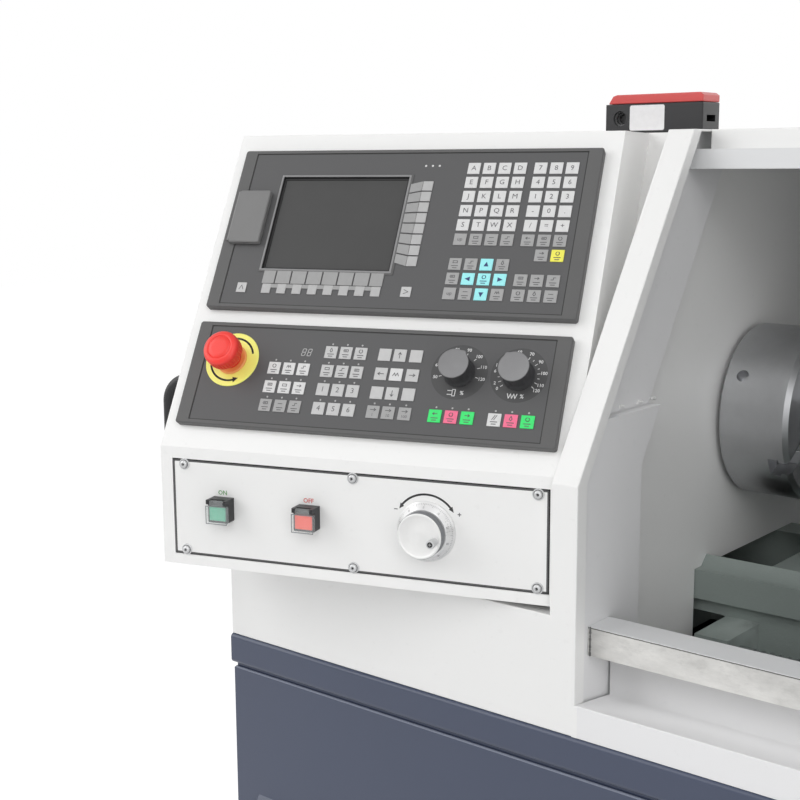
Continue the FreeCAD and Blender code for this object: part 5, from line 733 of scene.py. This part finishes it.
# soft keys: a fan at the screen's right, and a comb of linked squares below it
soft = {"count": 8, "sideTop": 322.9, "sidePitch": 13.15, "sideLeft": 1.5, "sideMiddle": 15.2,
        "sideRight": 27.0, "split": 0.3, "fan": 0.93, "gap": 0.8, "belowFirst": -149.2, "belowLast": -6.8,
        "belowJoint": -134.0, "belowPitch": 18.6, "belowTop": 209.0, "belowFoot": 193.4, "keyFirst": -142.2,
        "keyPitch": 18.49, "keyRow": 187.2, "keyWidth": 10.6, "keyHeight": 11.4, "linkWidth": 8.0,
        "linkHeight": 4.6, "linkDrop": 0.2}
middle = soft["sideTop"] - soft["sidePitch"] * soft["count"] / 2
combHeight = soft["belowTop"] - soft["belowFoot"]
linkRow = soft["keyRow"] + (soft["keyHeight"] - soft["linkHeight"]) / 2 - soft["linkDrop"]
for index in range(soft["count"]):
    top = soft["sideTop"] - soft["sidePitch"] * index - soft["gap"]
    foot = top - soft["sidePitch"] + 2 * soft["gap"]
    fanTop, fanFoot = (middle + (v - middle) * soft["fan"] for v in (top, foot))
    keyOutlines.append([(soft["sideLeft"], fanFoot), (soft["sideMiddle"], foot), (soft["sideMiddle"], top),
                        (soft["sideLeft"], fanTop)])
    keyOutlines.append(corners(soft["sideMiddle"] + soft["split"], soft["sideRight"], foot, top))
    keyTints.extend([ink["softLeft"], ink["softRight"]])
    right = soft["belowJoint"] + soft["belowPitch"] * index - soft["gap"]
    left = right - soft["belowPitch"] + 2 * soft["gap"] if index else soft["belowFirst"]
    right = min(right, soft["belowLast"])
    addKey((left + right) / 2, soft["belowFoot"] + combHeight / 2, "softLeft", width=right - left,
           height=combHeight)
    keyAt = soft["keyFirst"] + soft["keyPitch"] * index
    addKey(keyAt, soft["keyRow"], "softRight", width=soft["keyWidth"], height=soft["keyHeight"])
    if index < soft["count"] - 1:
        addKey(keyAt + soft["keyPitch"] / 2, linkRow, "softLeft", width=soft["linkWidth"],
               height=soft["linkHeight"])
keyPiece("upperKeyCaps", "upper_keys")

# the machine control keys below, with a small lamp above most of them
lampSpots = []
blocks = (
    {"columns": (-109.0, -91.9, -75.0), "rows": (93.6, 72.1, 50.9), "colours": ("white", "white", "grey"),
     "labels": (("ring", "wave", "steps"), ("door", "box", "right"), ("door", "bar", "steps"))},
    {"columns": (-47.5, -30.6, -13.8), "rows": (114.8, 93.4, 72.4, 51.1), "colours": ("light",) * 4,
     "labels": (("drop", "door", "ring"), ("box", "steps", "door"), "123", "456")},
)
for block in blocks:
    for v, colour, kinds in zip(block["rows"], block["colours"], block["labels"]):
        for u, kind in zip(block["columns"], kinds):
            addKey(u, v, colour, kind)
            lampSpots.append((u, v + panel["lampRise"]))
jog = {"columns": (13.5, 30.2, 48.1), "rows": (115.0, 93.5, 72.3), "stepRow": 51.1,
       "steps": ("1", "10", "100"),
       "labels": ((None, "up", None), ("left", "wave", "right"), (None, "down", None))}
for v, kinds in zip(jog["rows"], jog["labels"]):
    for u, kind in zip(jog["columns"], kinds):
        addKey(u, v, "white" if kind == "wave" else "light")
        if kind:
            mark("mark", drawn(kind, u, v, 6.4, 0.8))
for u, figure in zip(jog["columns"], jog["steps"]):
    addKey(u, jog["stepRow"], "grey")
    mark("mark", drawn("right", u, jog["stepRow"] + 2.4, 6.0, 0.7))
    mark("mark", [lettering(figure, u, jog["stepRow"] - 3.2, 4.6, markLevel)])
    lampSpots.append((u, jog["stepRow"] + panel["lampRise"]))
for u, colour, kind in ((80.6, "green", "left"), (97.6, "pink", "ring"), (114.7, "green", "right"),
                        (142.9, "white", "slashes"), (159.8, "pink", "drop"), (176.9, "green", "ring")):
    addKey(u, jog["stepRow"], colour, kind)
    lampSpots.append((u, jog["stepRow"] + panel["lampRise"] + 0.1))
keyPiece("lowerKeyCaps", "lower_keys")

# small lamps above the keys, the three lamps of the upper panel, the two-figure counter
mark("dim", [disc(u, v, 1.0, foilLevel, 12) for u, v in lampSpots])
mark("pale", [disc(u, 341.9, 1.25, foilLevel, 14) for u in (14.1, 22.0, 29.9)])
counter = {"u": -75.6, "v": 113.6, "pitch": 6.6, "half": 1.9, "rise": 3.9, "slant": 0.16, "flat": 0.7,
           "side": 0.38, "width": 0.8}
for u in (counter["u"] - counter["pitch"] / 2, counter["u"] + counter["pitch"] / 2):
    strokes = [(level, level, -counter["flat"], counter["flat"]) for level in (-1, 0, 1)]
    strokes += [(level - counter["side"], level + counter["side"], edge, edge)
                for level in (-0.5, 0.5) for edge in (-1, 1)]
    for low, high, start, end in strokes:
        line = [(u + edge * counter["half"] + level * counter["rise"] * counter["slant"],
                 counter["v"] + level * counter["rise"]) for level, edge in ((low, start), (high, end))]
        mark("dim", [ribbon(line, counter["width"], foilLevel)])

# the two switch dials: a dark round print, ticks and plain numbers
dials = [
    {"u": 97.5, "v": 100.2, "radius": 30.0, "from": 195.0, "to": -15.0, "ticks": 8, "knob": "spindle_knob",
     "body": "spindle_override", "pointer": 54.0, "symbol": "jaws",
     "numbers": {50: 195, 60: 165, 70: 135, 80: 105, 90: 75, 100: 45, 110: 15, 120: -15}},
    {"u": 160.0, "v": 100.2, "radius": 29.4, "from": 217.5, "to": -37.5, "ticks": 18, "knob": "feed_knob",
     "body": "feed_override", "pointer": 124.0, "symbol": "zigzag",
     "numbers": {0: 217.5, 2: 202.5, 6: 172.5, 10: 157.5, 40: 127.5, 60: 97.5, 70: 67.5, 90: 37.5, 100: 7.5,
                 110: -22.5, 120: -37.5}},
]
dialPrint = {"tick": 19.8, "longTick": 18.8, "tickEnd": 21.4, "figures": 25.4, "figureSize": 4.9,
             "symbolRow": -22.6}
for dial in dials:
    u, v = dial["u"], dial["v"]
    mark("dial", [disc(u, v, dial["radius"], foilLevel, 72)])
    for turn in np.linspace(dial["from"], dial["to"], dial["ticks"]):
        start = dialPrint["longTick" if turn in dial["numbers"].values() else "tick"]
        line = [polar(u, v, reach, math.radians(turn)) for reach in (start, dialPrint["tickEnd"])]
        mark("pale", [ribbon(line, 0.7, tickLevel)])
    for figure, turn in dial["numbers"].items():
        where = polar(u, v, dialPrint["figures"], math.radians(turn))
        mark("pale", [lettering(str(figure), *where, dialPrint["figureSize"], tickLevel, bold=0.09)])
    mark("pale", drawn(dial["symbol"], u - 3.5, v + dialPrint["symbolRow"], 10.0, 0.8, tickLevel))
    mark("pale", [lettering("%", u + 6.6, v + dialPrint["symbolRow"], 6.0, tickLevel, bold=0.1)])
printed("panelMarks", markParts, onSlope, markTints)
print("panel marks:", len(markParts))

# foil fields laid in the two panel frames, with a fine dark gap round them
# the upper one leaves room for the screen, whose pane lies inside its edge
foils = [inset(corners(panel["fieldLeft"], panel["fieldRight"], low, high), panel["gap"])
         for low, high in ((panel["upperLow"], panel["upperHigh"]), (panel["lowerLow"], panel["lowerHigh"]))]
screen = {"left": -156.3, "right": 0.1, "low": 209.5, "high": 330.0, "pane": 4.5}
screenEdge = corners(screen["left"], screen["right"], screen["low"], screen["high"])
(left, low), (right, high) = foils[0][0], foils[0][2]
foilStrips = [corners(left, screen["left"], low, high), corners(screen["right"], right, low, high),
              corners(screen["left"], screen["right"], low, screen["low"]),
              corners(screen["left"], screen["right"], screen["high"], high), foils[1]]
addPiece("keypadFoils", [slabs(foilStrips, panel["fieldLevel"] - 0.3, panel["fieldLevel"] + 0.02)], onSlope,
         "machine", finishes["field"], weld=False)
joints = [ribbon(outline, 1.1, panel["fieldLevel"] + 0.05, closed=True) for outline in foils]
printed("foilJoints", joints, onSlope, ink["black"])

# the screen's bright bevel frame, the dark well and the pane
addPiece("screenRim", [stepped(screenEdge, [(0.0, 9.0), (1.0, 9.7), (2.0, 9.2), (2.6, 4.6)])], onSlope,
         "machine", finishes["rim"], weld=False, crease=20)
addPiece("screenWell", [stepped(screenEdge, [(2.6, 8.9), (3.4, 6.6), (4.6, 6.4), (5.4, 4.3)])], onSlope,
         "machine", finishes["well"], weld=False, crease=20)
addPiece("screenPane", [slabs([inset(screenEdge, screen["pane"])], 4.0, 5.6)], onSlope, "machine",
         finishes["display"], ("screen",), weld=False)
print("screen made")

# override knobs: a dark scalloped skirt under a pale turned cap with a raised pointer
knob = {"radius": 15.6, "base": 8.5, "rise": 31.0, "cap": 15.9, "grip": 12, "scallop": 0.5, "nose": 1.6,
        "noseWidth": 0.15}


def knobWave(t, r, h):
    # radius drops a little at each grip flute and grows by nose * exp(-(t / noseWidth)^2) at the pointer
    held = np.clip((h - 13.0) / 3.0, 0, 1) * (r > 13.5)
    flute = knob["scallop"] * held * (0.5 - 0.5 * np.cos(knob["grip"] * t)) ** 3 * (h < knob["rise"] - 1.7)
    away = (t + np.pi) % (2 * np.pi) - np.pi
    return r - flute + knob["nose"] * held * np.exp(-(away / knob["noseWidth"]) ** 2)


base, rise, radius, edge = (knob[part] for part in ("base", "rise", "radius", "cap"))
skirt = [(0, base), (radius + 0.8, base), (radius + 1.0, base + 0.8), (radius + 0.6, base + 2.0),
         (radius - 0.8, base + 4.5), (radius - 0.8, base + 8.0), (radius - 0.3, rise - 4.0),
         (radius, rise - 1.7), (0, rise - 1.7)]
cap = [(0, rise - 1.7), (edge, rise - 1.7), (edge, rise - 0.6), (edge - 0.5, rise - 0.1), (edge - 1.4, rise),
       (0, rise)]
for dial in dials:
    knobAt = moved(onSlope, dial["u"], dial["v"]) @ Matrix.Rotation(math.radians(dial["pointer"]), 4, "Z")
    for part, profile, look, stands in (("Skirt", skirt, "knob_grey", (dial["knob"],)),
                                        ("Cap", cap, "cap", ())):
        addPiece(dial["knob"] + part, [turned(profile, 144, knobWave)], knobAt, dial["body"], finishes[look],
                 stands)

# the stop button: mushroom head with a ribbed skirt, collar and disc
stop = {"u": -161.0, "v": 100.6, "radius": 20.0, "rise": 42.0, "ribs": 36, "disc": 31.0, "stem": 11.0,
        "ribDepth": 0.7, "collar": 17.4, "arrows": 24.6}


def ribWave(t, r, h):
    # ribs are cut into the skirt between its foot and the shoulder
    held = np.clip((h - (stop["rise"] - 16.5)) / 2.5, 0, 1) * np.clip((stop["rise"] - 5.5 - h) / 2.5, 0, 1)
    return r - stop["ribDepth"] * held * (0.5 + 0.5 * np.cos(stop["ribs"] * t))


top, reach, stem = stop["rise"], stop["radius"], stop["stem"]
level, hole, rim = panel["fieldLevel"], stem + 0.5, stop["disc"]
stopAt = moved(onSlope, stop["u"], stop["v"])
head = [(0, 5.0), (stem, 5.0), (stem, top - 20), (reach - 3.5, top - 18.5), (reach - 0.6, top - 16.6),
        (reach, top - 14.5), (reach, top - 12.0), (reach, top - 9.0), (reach, top - 6.5),
        (reach - 0.2, top - 4.2), (reach - 1.0, top - 2.3), (reach - 2.4, top - 1.1),
        (reach - 4.6, top - 0.45), (reach - 6.6, top - 0.2),
        (reach - 7.2, top - 0.75), (reach - 7.8, top - 0.2), (reach - 12, top - 0.05), (0, top)]
addPiece("stopHead", [turned(head, 288, ribWave)], stopAt, "stop_button", finishes["stop_red"],
         ("stop_head",), crease=50)
backing = [(hole, level), (rim, level), (rim + 0.1, level + 0.6), (rim - 0.6, level + 1.1),
           (26.0, level + 1.2), (hole, level + 1.2), (hole, level)]
addPiece("stopDisc", [turned(backing, 120)], stopAt, "machine", finishes["stop_yellow"],
         ("stop_disc",))
edge = stop["collar"]
collar = [(hole, level + 1.2), (edge, level + 1.2), (edge - 0.2, level + 2.2), (edge - 1.4, level + 3.1),
          (hole, level + 3.2), (hole, level + 1.2)]
addPiece("stopCollar", [turned(collar, 96)], stopAt, "machine", finishes["collar"])
arrows = []
for start in (200, 20):
    arrows.append(ribbon(arcLine(0, 0, stop["arrows"], start, start + 88, 30), 2.2, level + 1.3))
    arrows.append(arrowHead(0, 0, stop["arrows"], math.radians(start + 86), 3.2, 0.26, level + 1.3))
printed("stopArrows", arrows, stopAt, ink["black"])
print("knobs and stop button made")

# the push buttons: black bezel, lens with a weak painted glow, clear flip guard with a pale rim
button = {"row": -65.5, "lens": (19.6, 15.0), "lensLow": 7.3, "lensTop": 15.4, "lensEdge": 0.0009,
          "guard": (24.0, 18.8), "guardRow": -66.4, "guardTop": 18.56, "guardRim": 0.9}
pushButtons = (("on", -150.0, "lens_green"), ("off", -50.0, "lens_red"))
for name, u, slot in pushButtons:
    lens = slabs([rectangle(u, button["row"], *button["lens"])], button["lensLow"], button["lensTop"])
    piece = addPiece(name + "Lens", [lens], onUpright, name + "_button", finishes[slot],
                     (name + "_lens",))
    bevelled(piece, button["lensEdge"], 3)
for name in ("on_guard", "off_guard"):
    softened(name, finishes["clear"], 0.0008, 0.0003, 0.003)
softened("button_bodies", finishes["black_plastic"], 0.0007, 0.0003, 0.004)
for name, u, slot in pushButtons:
    outline = rectangle(u, button["guardRow"], *button["guard"])
    edging = ribbon(outline, button["guardRim"], button["guardTop"], closed=True)
    printed(name + "_coverRim", [edging], onUpright, shade(128, 132, 134), name + "_cover")

# the dark rubber that shows in the joint round the screwed plate, and a grey line along the plate's edge that
# is partly the dark joint and partly painted shade
gasket = {"left": -211.9, "right": 206.5, "low": -118.0, "high": -12.5, "width": 4.6, "lip": 2.1,
          "lipWidth": 1.9}
outer = corners(gasket["left"], gasket["right"], gasket["low"], gasket["high"])
inner = inset(outer, gasket["width"])
strips = [[outer[k], outer[(k + 1) % 4], inner[(k + 1) % 4], inner[k]] for k in range(4)]
addPiece("plateGasket", [slabs(strips, -1.98, -1.76)], onUpright, "machine", finishes["belt_rubber"],
         weld=False)
# the grey line along the plate's edge: partly the dark joint, partly painted shade of the edge
lip = ribbon(inset(outer, gasket["lip"]), gasket["lipWidth"], 0.04, closed=True)
printed("plateEdgeShade", [lip], onUpright, shade(84, 84, 85))

# words and marks on the plate: ON, OFF, the wheel's arrow with its signs
arrow = {"u": 79.2, "v": -62.1, "radius": 33.8, "from": 140.0, "to": 41.0, "width": 2.1, "head": 2.5,
         "tip": 0.17, "signs": -45.8, "minus": 46.2, "plus": 114.0, "half": 1.6, "line": 0.9, "level": 0.08}
level, row = arrow["level"], arrow["signs"]
place = (arrow["u"], arrow["v"], arrow["radius"])
marks = [lettering(text, u, -46.2, 6.8, level, bold=0.08) for text, u in (("ON", -151.5), ("OFF", -51.0))]
marks.append(ribbon(arcLine(*place, arrow["from"], arrow["to"], 40), arrow["width"], level))
marks += [arrowHead(*place, math.radians(turn), arrow["head"], tip, level)
          for turn, tip in ((arrow["from"], arrow["tip"]), (arrow["to"], -arrow["tip"]))]
marks += [ribbon([(u - arrow["half"], row), (u + arrow["half"], row)], arrow["line"], level)
          for u in (arrow["minus"], arrow["plus"])]
upright = [(arrow["plus"], row - arrow["half"]), (arrow["plus"], row + arrow["half"])]
marks.append(ribbon(upright, arrow["line"], level))
tints = [shade(90, 160, 84), shade(232, 92, 88)] + [ink["dial"]] * 3 + [ink["mark"]] * 3
printed("plateMarks", marks, onUpright, tints)

# the handwheel: scale ring with its graduation, dished disc, crank knob with a screw in its end
wheel = {"u": 79.4, "v": -65.9, "ring": 31.0, "cone": (29.8, 3.8, 25.2, 10.9), "disc": 23.5, "rise": 22.4,
         "marks": 100, "markTop": 0.2, "markHalf": 0.005, "figures": 3.3, "figureSize": 2.5, "knurls": 90,
         "knurlDepth": 0.3, "crank": (16.6, -3.2)}
wheelAt = moved(onUpright, wheel["u"], wheel["v"])
ringEdge = wheel["ring"]
coneRadius, coneLow, coneInner, coneHigh = wheel["cone"]
ring = [(9.4, 0.1), (ringEdge, 0.1), (ringEdge, 2.6), (ringEdge - 0.5, 3.2), (coneRadius, coneLow),
        (coneInner, coneHigh), (coneInner - 0.6, coneHigh + 0.5), (20.6, 11.5), (9.4, 11.5), (9.4, 0.1)]
addPiece("wheelRing", [turned(ring, 128)], wheelAt, "machine", finishes["ring"],
         ("wheel_ring",))


def onCone(points):
    # height on the scale's cone: low + (outer radius - r) * (high - low) / (outer radius - inner radius)
    r = np.hypot(points[:, 0], points[:, 1])
    h = coneLow + (coneRadius - r) * (coneHigh - coneLow) / (coneRadius - coneInner) + 0.12
    return np.stack([points[:, 0], points[:, 1], h], -1)


scale = []
outer, half = coneRadius - wheel["markTop"], wheel["markHalf"]
for index in range(wheel["marks"]):
    a = 2 * math.pi * index / wheel["marks"]
    inner = coneRadius - (2.0 if index % 10 == 0 else 1.7 if index % 5 == 0 else 1.1)
    spots = ((inner, a - half), (inner, a + half), (outer, a + half), (outer, a - half))
    scale.append((onCone(np.array([polar(0, 0, *spot) for spot in spots])), [(0, 3, 2, 1)]))
    if index % 10 == 0:
        v, u = polar(0, 0, coneRadius - wheel["figures"], a)
        points, faces = lettering(str(index), u, v, wheel["figureSize"], 0.0, -math.degrees(a))
        scale.append((onCone(points), faces))
printed("wheelScale", scale, wheelAt, ink["mark"])


def knurl(t, r, h):
    # fine straight teeth round the rim: r falls by a raised cosine of knurls * t
    held = np.clip((h - 12.8) / 0.5, 0, 1) * np.clip((20.9 - h) / 0.5, 0, 1) * (r > 22)
    return r - wheel["knurlDepth"] * held * (0.5 + 0.5 * np.cos(wheel["knurls"] * t))


rise, reach = wheel["rise"], wheel["disc"]
side = [(20.4, 11.9), (reach - 0.6, 11.9), (reach, 12.5), (reach, 12.9), (reach, 13.4), (reach, 20.4),
        (reach, 20.9), (reach - 0.2, rise - 1.1), (20.4, rise - 1.1), (20.4, 11.9)]
# the knurled side takes the dark copy of the wheel alloy, which is painted shade
addPiece("wheelSide", [turned(side, 360, knurl)], wheelAt, "handwheel", finishes["knurl"],
         crease=50)
face = [(0, 4.0), (8.8, 4.0), (8.8, 11.8), (20.5, 11.8), (20.5, rise - 1.1), (reach - 0.3, rise - 1.1),
        (reach - 0.3, rise - 0.8), (reach - 0.9, rise - 0.1), (reach - 2.1, rise), (reach - 2.6, rise - 0.3),
        (reach - 3.2, rise - 0.7), (7.0, rise - 0.7), (6.4, rise - 0.5), (0, rise - 0.5)]
addPiece("wheelDisc", [turned(face, 128)], wheelAt, "handwheel", finishes["wheel_silver"],
         ("wheel_disc",), crease=50)
crankAt = moved(wheelAt, *wheel["crank"], rise)
crank = [(0, -1.0), (3.0, -1.0), (3.0, 1.0), (4.1, 2.0), (4.6, 10.5), (4.6, 12.6), (4.1, 13.7), (3.3, 14.0),
         (3.0, 14.0), (2.9, 13.1), (0, 13.1)]
addPiece("wheelCrank", [turned(crank, 48)], crankAt, "handwheel", finishes["crank"])
screwEnd = turned([(0, 13.2), (2.7, 13.2), (2.7, 13.4), (2.3, 13.8), (0, 13.9)], 32)
addPiece("crankScrew", [screwEnd], crankAt, "handwheel", finishes["black_plastic"])
slots = slabs([rectangle(0, 0, 3.4, 0.7), rectangle(0, 0, 0.7, 3.4)], 13.7, 13.94)
printed("crankSlots", [slots], crankAt, ink["grey"], body="handwheel")

# plate screws: washer, domed head, six-sided socket
screw = {"columns": (-197.0, -0.8, 194.7), "rows": (-112.3, -18.2), "segments": 36}
washer = [(2.6, 0.1), (6.0, 0.1), (6.0, 0.9), (5.7, 1.2), (4.2, 1.2)]
dome = [(4.2, 1.2), (4.3, 1.8), (4.0, 2.7), (3.4, 3.4), (2.7, 3.8), (1.9, 3.95), (1.5, 3.95), (1.5, 2.2),
        (0, 2.2)]


def hexSocket(t, r, h):
    # the socket's wall follows a hexagon: r / cos of the angle from the nearest flat's middle
    flat = (t + math.pi / 6) % (math.pi / 3) - math.pi / 6
    return np.where((r > 1.2) & (r < 1.7) & (h > 1.5), r / np.cos(flat), r)


points, faces = turned(washer + dome, screw["segments"], hexSocket)
spots = [(u, v) for u in screw["columns"] for v in screw["rows"]]
heads = [(points + (u, v, 0), faces) for u, v in spots]
addPiece("plateScrews", heads, onUpright, "machine", finishes["screw"], ("plate_screws",))
# painted shade: a black disc at the bottom of each socket, and a dark ring round each head's foot that is
# partly the joint with its washer and partly painted shade
socketShades = [disc(u, v, 1.3, 2.25, 18) for u, v in spots]
socketShades += [ribbon(arcLine(u, v, 4.55, 0, 350, 30), 0.5, 1.24, closed=True) for u, v in spots]
printed("plateSocketShades", socketShades, onUpright, ink["black"])
print("plate fitted")

# the door switch: a blank white label on its front, a stepped grey bush in its cable entry
switchLow, switchHigh = ((place - corner) * 1000 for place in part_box("interlock_switch"))
label = {"left": 32.0, "right": 77.0, "low": 2.8, "high": 1.6, "corner": 2.2, "lift": 0.15, "entry": 19.0}
switchAt = moved(onFront(switchLow.y), switchLow.x, 0)
outline = roundedOutline(label["left"], label["right"], switchLow.z + label["low"],
                         switchHigh.z - label["high"], label["corner"])
points = np.column_stack([outline, np.full(len(outline), label["lift"])])
printed("switchLabel", [(points, [tuple(range(len(points)))])], switchAt, shade(246, 245, 246))
bush = turned([(8.3, -0.8), (8.3, -3.2), (6.9, -3.6), (6.9, -8.0), (5.6, -8.4), (5.6, -11.4), (0, -11.4)], 36)
entryAt = moved(switchAt, label["entry"], (switchLow.z + switchHigh.z) / 2)
addPiece("switchBush", [bush], entryAt, "machine", finishes["bush"], weld=False)

# a sheet closes the wedge between the console's right cheek and the leaning cover behind it
# behind holds its depths behind the plate's face; it reaches from low to top above the fold
wedge = {"cheek": 225.85, "sheet": 2.0, "behind": (229.0, 334.4), "low": 169.5, "top": 329.4}
start, end = wedge["behind"]
halfway = ((start + end) / 2, (wedge["low"] + wedge["top"]) / 2)  # slabs wants four corners
slant = [(start, wedge["low"]), halfway, (end, wedge["top"]), (start, wedge["top"])]
cheekAt = onUpright @ Matrix.Rotation(math.radians(90), 4, "Y")
addPiece("cheekSheet", [slabs([slant], wedge["cheek"] - wedge["sheet"], wedge["cheek"])], cheekAt, "machine",
         finishes["console"])

# the guard's painted joints: a filled joint between post and sill, and weld beads, in layout millimetres
seam = {"x": 479.25, "foot": 887.0, "sill": 919.0, "width": 6.0}
fill = corners(seam["x"] - seam["width"] / 2, seam["x"] + seam["width"] / 2, seam["foot"], seam["sill"])
addPiece("sillJoint", [slabs([fill], -1.5, 0.02)], onFront(0), "machine", finishes["guard_white"],
         weld=False)
welds = [bead([(462.6, y - 4.0, 1196.6), (462.9, y, 1197.4), (462.6, y + 4.0, 1196.6)], 1.7, 0.3)
         for y in (104.0, 139.0, 166.0)]
addPiece("ledgeWelds", welds, onMachine, "machine", finishes["guard_white"], weld=False)
railWeld = bead([(479.3, 26.5, 962.5), (479.3, 26.5, 992.0)], 1.0, 0.5)
printed("railWeld", [railWeld], onMachine, shade(96, 96, 96))
# a light line along the stand's top front edge: a painted highlight of the rounded edge
standEdgeHighlight = bead([(3.0, 2.2, 844.9), (1897.0, 2.2, 844.9)], 1.4)
printed("standEdgeHighlight", [standEdgeHighlight], onMachine, shade(128, 134, 150))
print("guard joints made")

# feed screws: the thread is a rounded groove that advances one lead a turn, and both ends are plain
thread = {"rows": 10, "segments": 24, "foot": 0.5}
feedScrews = {
    "longScrewThread": {"node": "z_screw", "body": "long_screw", "axis": (1, 0, 0), "at": (0, 262.0, 900.0),
                        "radius": 15.9, "lead": 10.0, "depth": 2.4, "runIn": 60, "runOut": 60, "head": 30},
    "crossScrewThread": {"node": "x_screw", "body": "cross_screw", "axis": (0, 1, 0),
                         "at": (880.0, 0, 1012.0), "radius": 7.9, "lead": 5.0, "depth": 1.2, "runIn": 16,
                         "runOut": 60, "head": 22},
}


def threaded(cut, low, high):
    # radius falls by depth on a raised cosine of (h / lead - t / 2 pi), and is plain beyond start and end
    start, end, lead = low + cut["runIn"], high - cut["runOut"], cut["lead"]
    middle = np.linspace(start, end, round((end - start) / lead * thread["rows"]))
    foot, head = low + thread["foot"], high - cut["head"]
    heights = np.concatenate([[foot, foot], middle, [head, head]])
    around = np.linspace(0, 2 * np.pi, thread["segments"], endpoint=False)
    h, t = np.meshgrid(heights, around, indexing="ij")
    fade = np.clip((h - start) / lead, 0, 1) * np.clip((end - h) / lead, 0, 1)
    groove = np.clip(np.cos(2 * np.pi * h / lead - t) * 1.6, -1, 1) * 0.5 + 0.5
    r = cut["radius"] - cut["depth"] * groove * fade
    r[0], r[-1] = 0.0, 0.0
    return np.stack([r * np.cos(t), r * np.sin(t), h], -1).reshape(-1, 3), ringFaces(*h.shape)


for name, cut in feedScrews.items():
    low, high = ((end - corner).dot(Vector(cut["axis"])) * 1000 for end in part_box(cut["node"]))
    screwAt = onAxis(cut["at"], cut["axis"])
    addPiece(name, [threaded(cut, low, high)], screwAt, cut["body"], finishes["steel"],
             (cut["node"],))
print("feed screws threaded")

# floor and backdrop, not part of the machine: the floor glows for the camera, which hides its horizon
studio = {"span": 14.0, "floorGlow": 0.6, "glowStrength": 1.42, "sky": 0.38}
floorMesh = bpy.data.meshes.new("studioFloor")
floorCorners = [(*spot, 0) for spot in rectangle(0, 0, 2 * studio["span"], 2 * studio["span"])]
floorMesh.from_pydata(floorCorners, [], [(0, 1, 2, 3)])
paper = Recipe("studioPaper")
seen = paper.ray("Camera") + paper.ray("Glossy")
paper.set(Base_Color=paper.mix(paper.noise(3.0), shade(238, 238, 238), shade(242, 242, 242)), Roughness=0.8)
lit = Signal(paper, paper.shader.outputs[0])
glowing = paper.node("ShaderNodeEmission", {}, {"Color": (1.0, 1.0, 1.0), "Strength": studio["glowStrength"]})
paper.end(paper.node("ShaderNodeMixShader", {}, {0: seen * studio["floorGlow"], 1: lit, 2: glowing}))
floorMesh.materials.append(paper.material)
placed("studioFloor", floorMesh)

# the sky lights softly, and is plain white to camera, reflections and clear parts
world = bpy.data.worlds.new("studio")
bpy.context.scene.world = world
sky = NodeTree(world, "ShaderNodeOutputWorld")
seen = sky.ray("Camera") + sky.ray("Glossy")
plain = sky.node("ShaderNodeMath", {"operation": "ADD", "use_clamp": True},
                 {0: seen, 1: sky.ray("Transmission")})
dim, bright = (sky.node("ShaderNodeBackground", {}, {"Color": (1, 1, 1), "Strength": strength})
               for strength in (studio["sky"], 1.0))
sky.end(sky.node("ShaderNodeMixShader", {}, {0: plain, 1: dim, 2: bright}))

# soft boxes: place in the row frame, what they look at, size and power
softBoxes = {
    "keyBox": {"at": (-3.6, -3.4, 3.4), "to": (-0.6, -0.4, 1.15), "size": 3.6, "power": 88.0},
    "fillBox": {"at": (1.30, -3.32, 4.34), "to": (-0.6, -0.4, 1.15), "size": 3.4, "power": 60.0},
    "backBox": {"at": (0.8, 4.8, 3.2), "to": (0.0, 0.4, 0.9), "size": 3.6, "power": 46.0},
    "sideBox": {"at": (3.41, -2.91, 1.98), "to": (-0.6, -0.4, 1.15), "size": 2.6, "power": 33.0},
}
for name, box in softBoxes.items():
    lamp = bpy.data.lights.new(name, "AREA")
    lamp.shape, lamp.size, lamp.energy = "SQUARE", box["size"], box["power"]
    holder = placed(name, lamp)
    holder.location = box["at"]
    holder.rotation_euler = (Vector(box["to"]) - Vector(box["at"])).to_track_quat("-Z", "Y").to_euler()

# the photograph's viewpoint: place in layout metres, direction, lens
shot = {"at": (1.1495, -1.0652, 1.4361), "yaw": 39.80, "pitch": 9.81, "roll": -0.31, "lens": 61.34}
yaw, pitch, roll = (math.radians(shot[k]) for k in ("yaw", "pitch", "roll"))
forward = Vector((-math.sin(yaw) * math.cos(pitch), math.cos(yaw) * math.cos(pitch), -math.sin(pitch)))
right = Vector((math.cos(yaw), math.sin(yaw), 0))
up = right.cross(forward)
right, up = math.cos(roll) * right + math.sin(roll) * up, math.cos(roll) * up - math.sin(roll) * right
cameraData = bpy.data.cameras.new("photoCamera")
cameraData.lens, cameraData.sensor_width, cameraData.clip_end = shot["lens"], 36.0, 60.0
camera = placed("photoCamera", cameraData)
turn = Matrix((right, up, -forward)).transposed().to_4x4()
camera.matrix_world = Matrix.Translation(corner + Vector(shot["at"])) @ turn
bpy.context.scene.camera = camera
bpy.context.scene.view_settings.view_transform = "Standard"

print("scene ready")
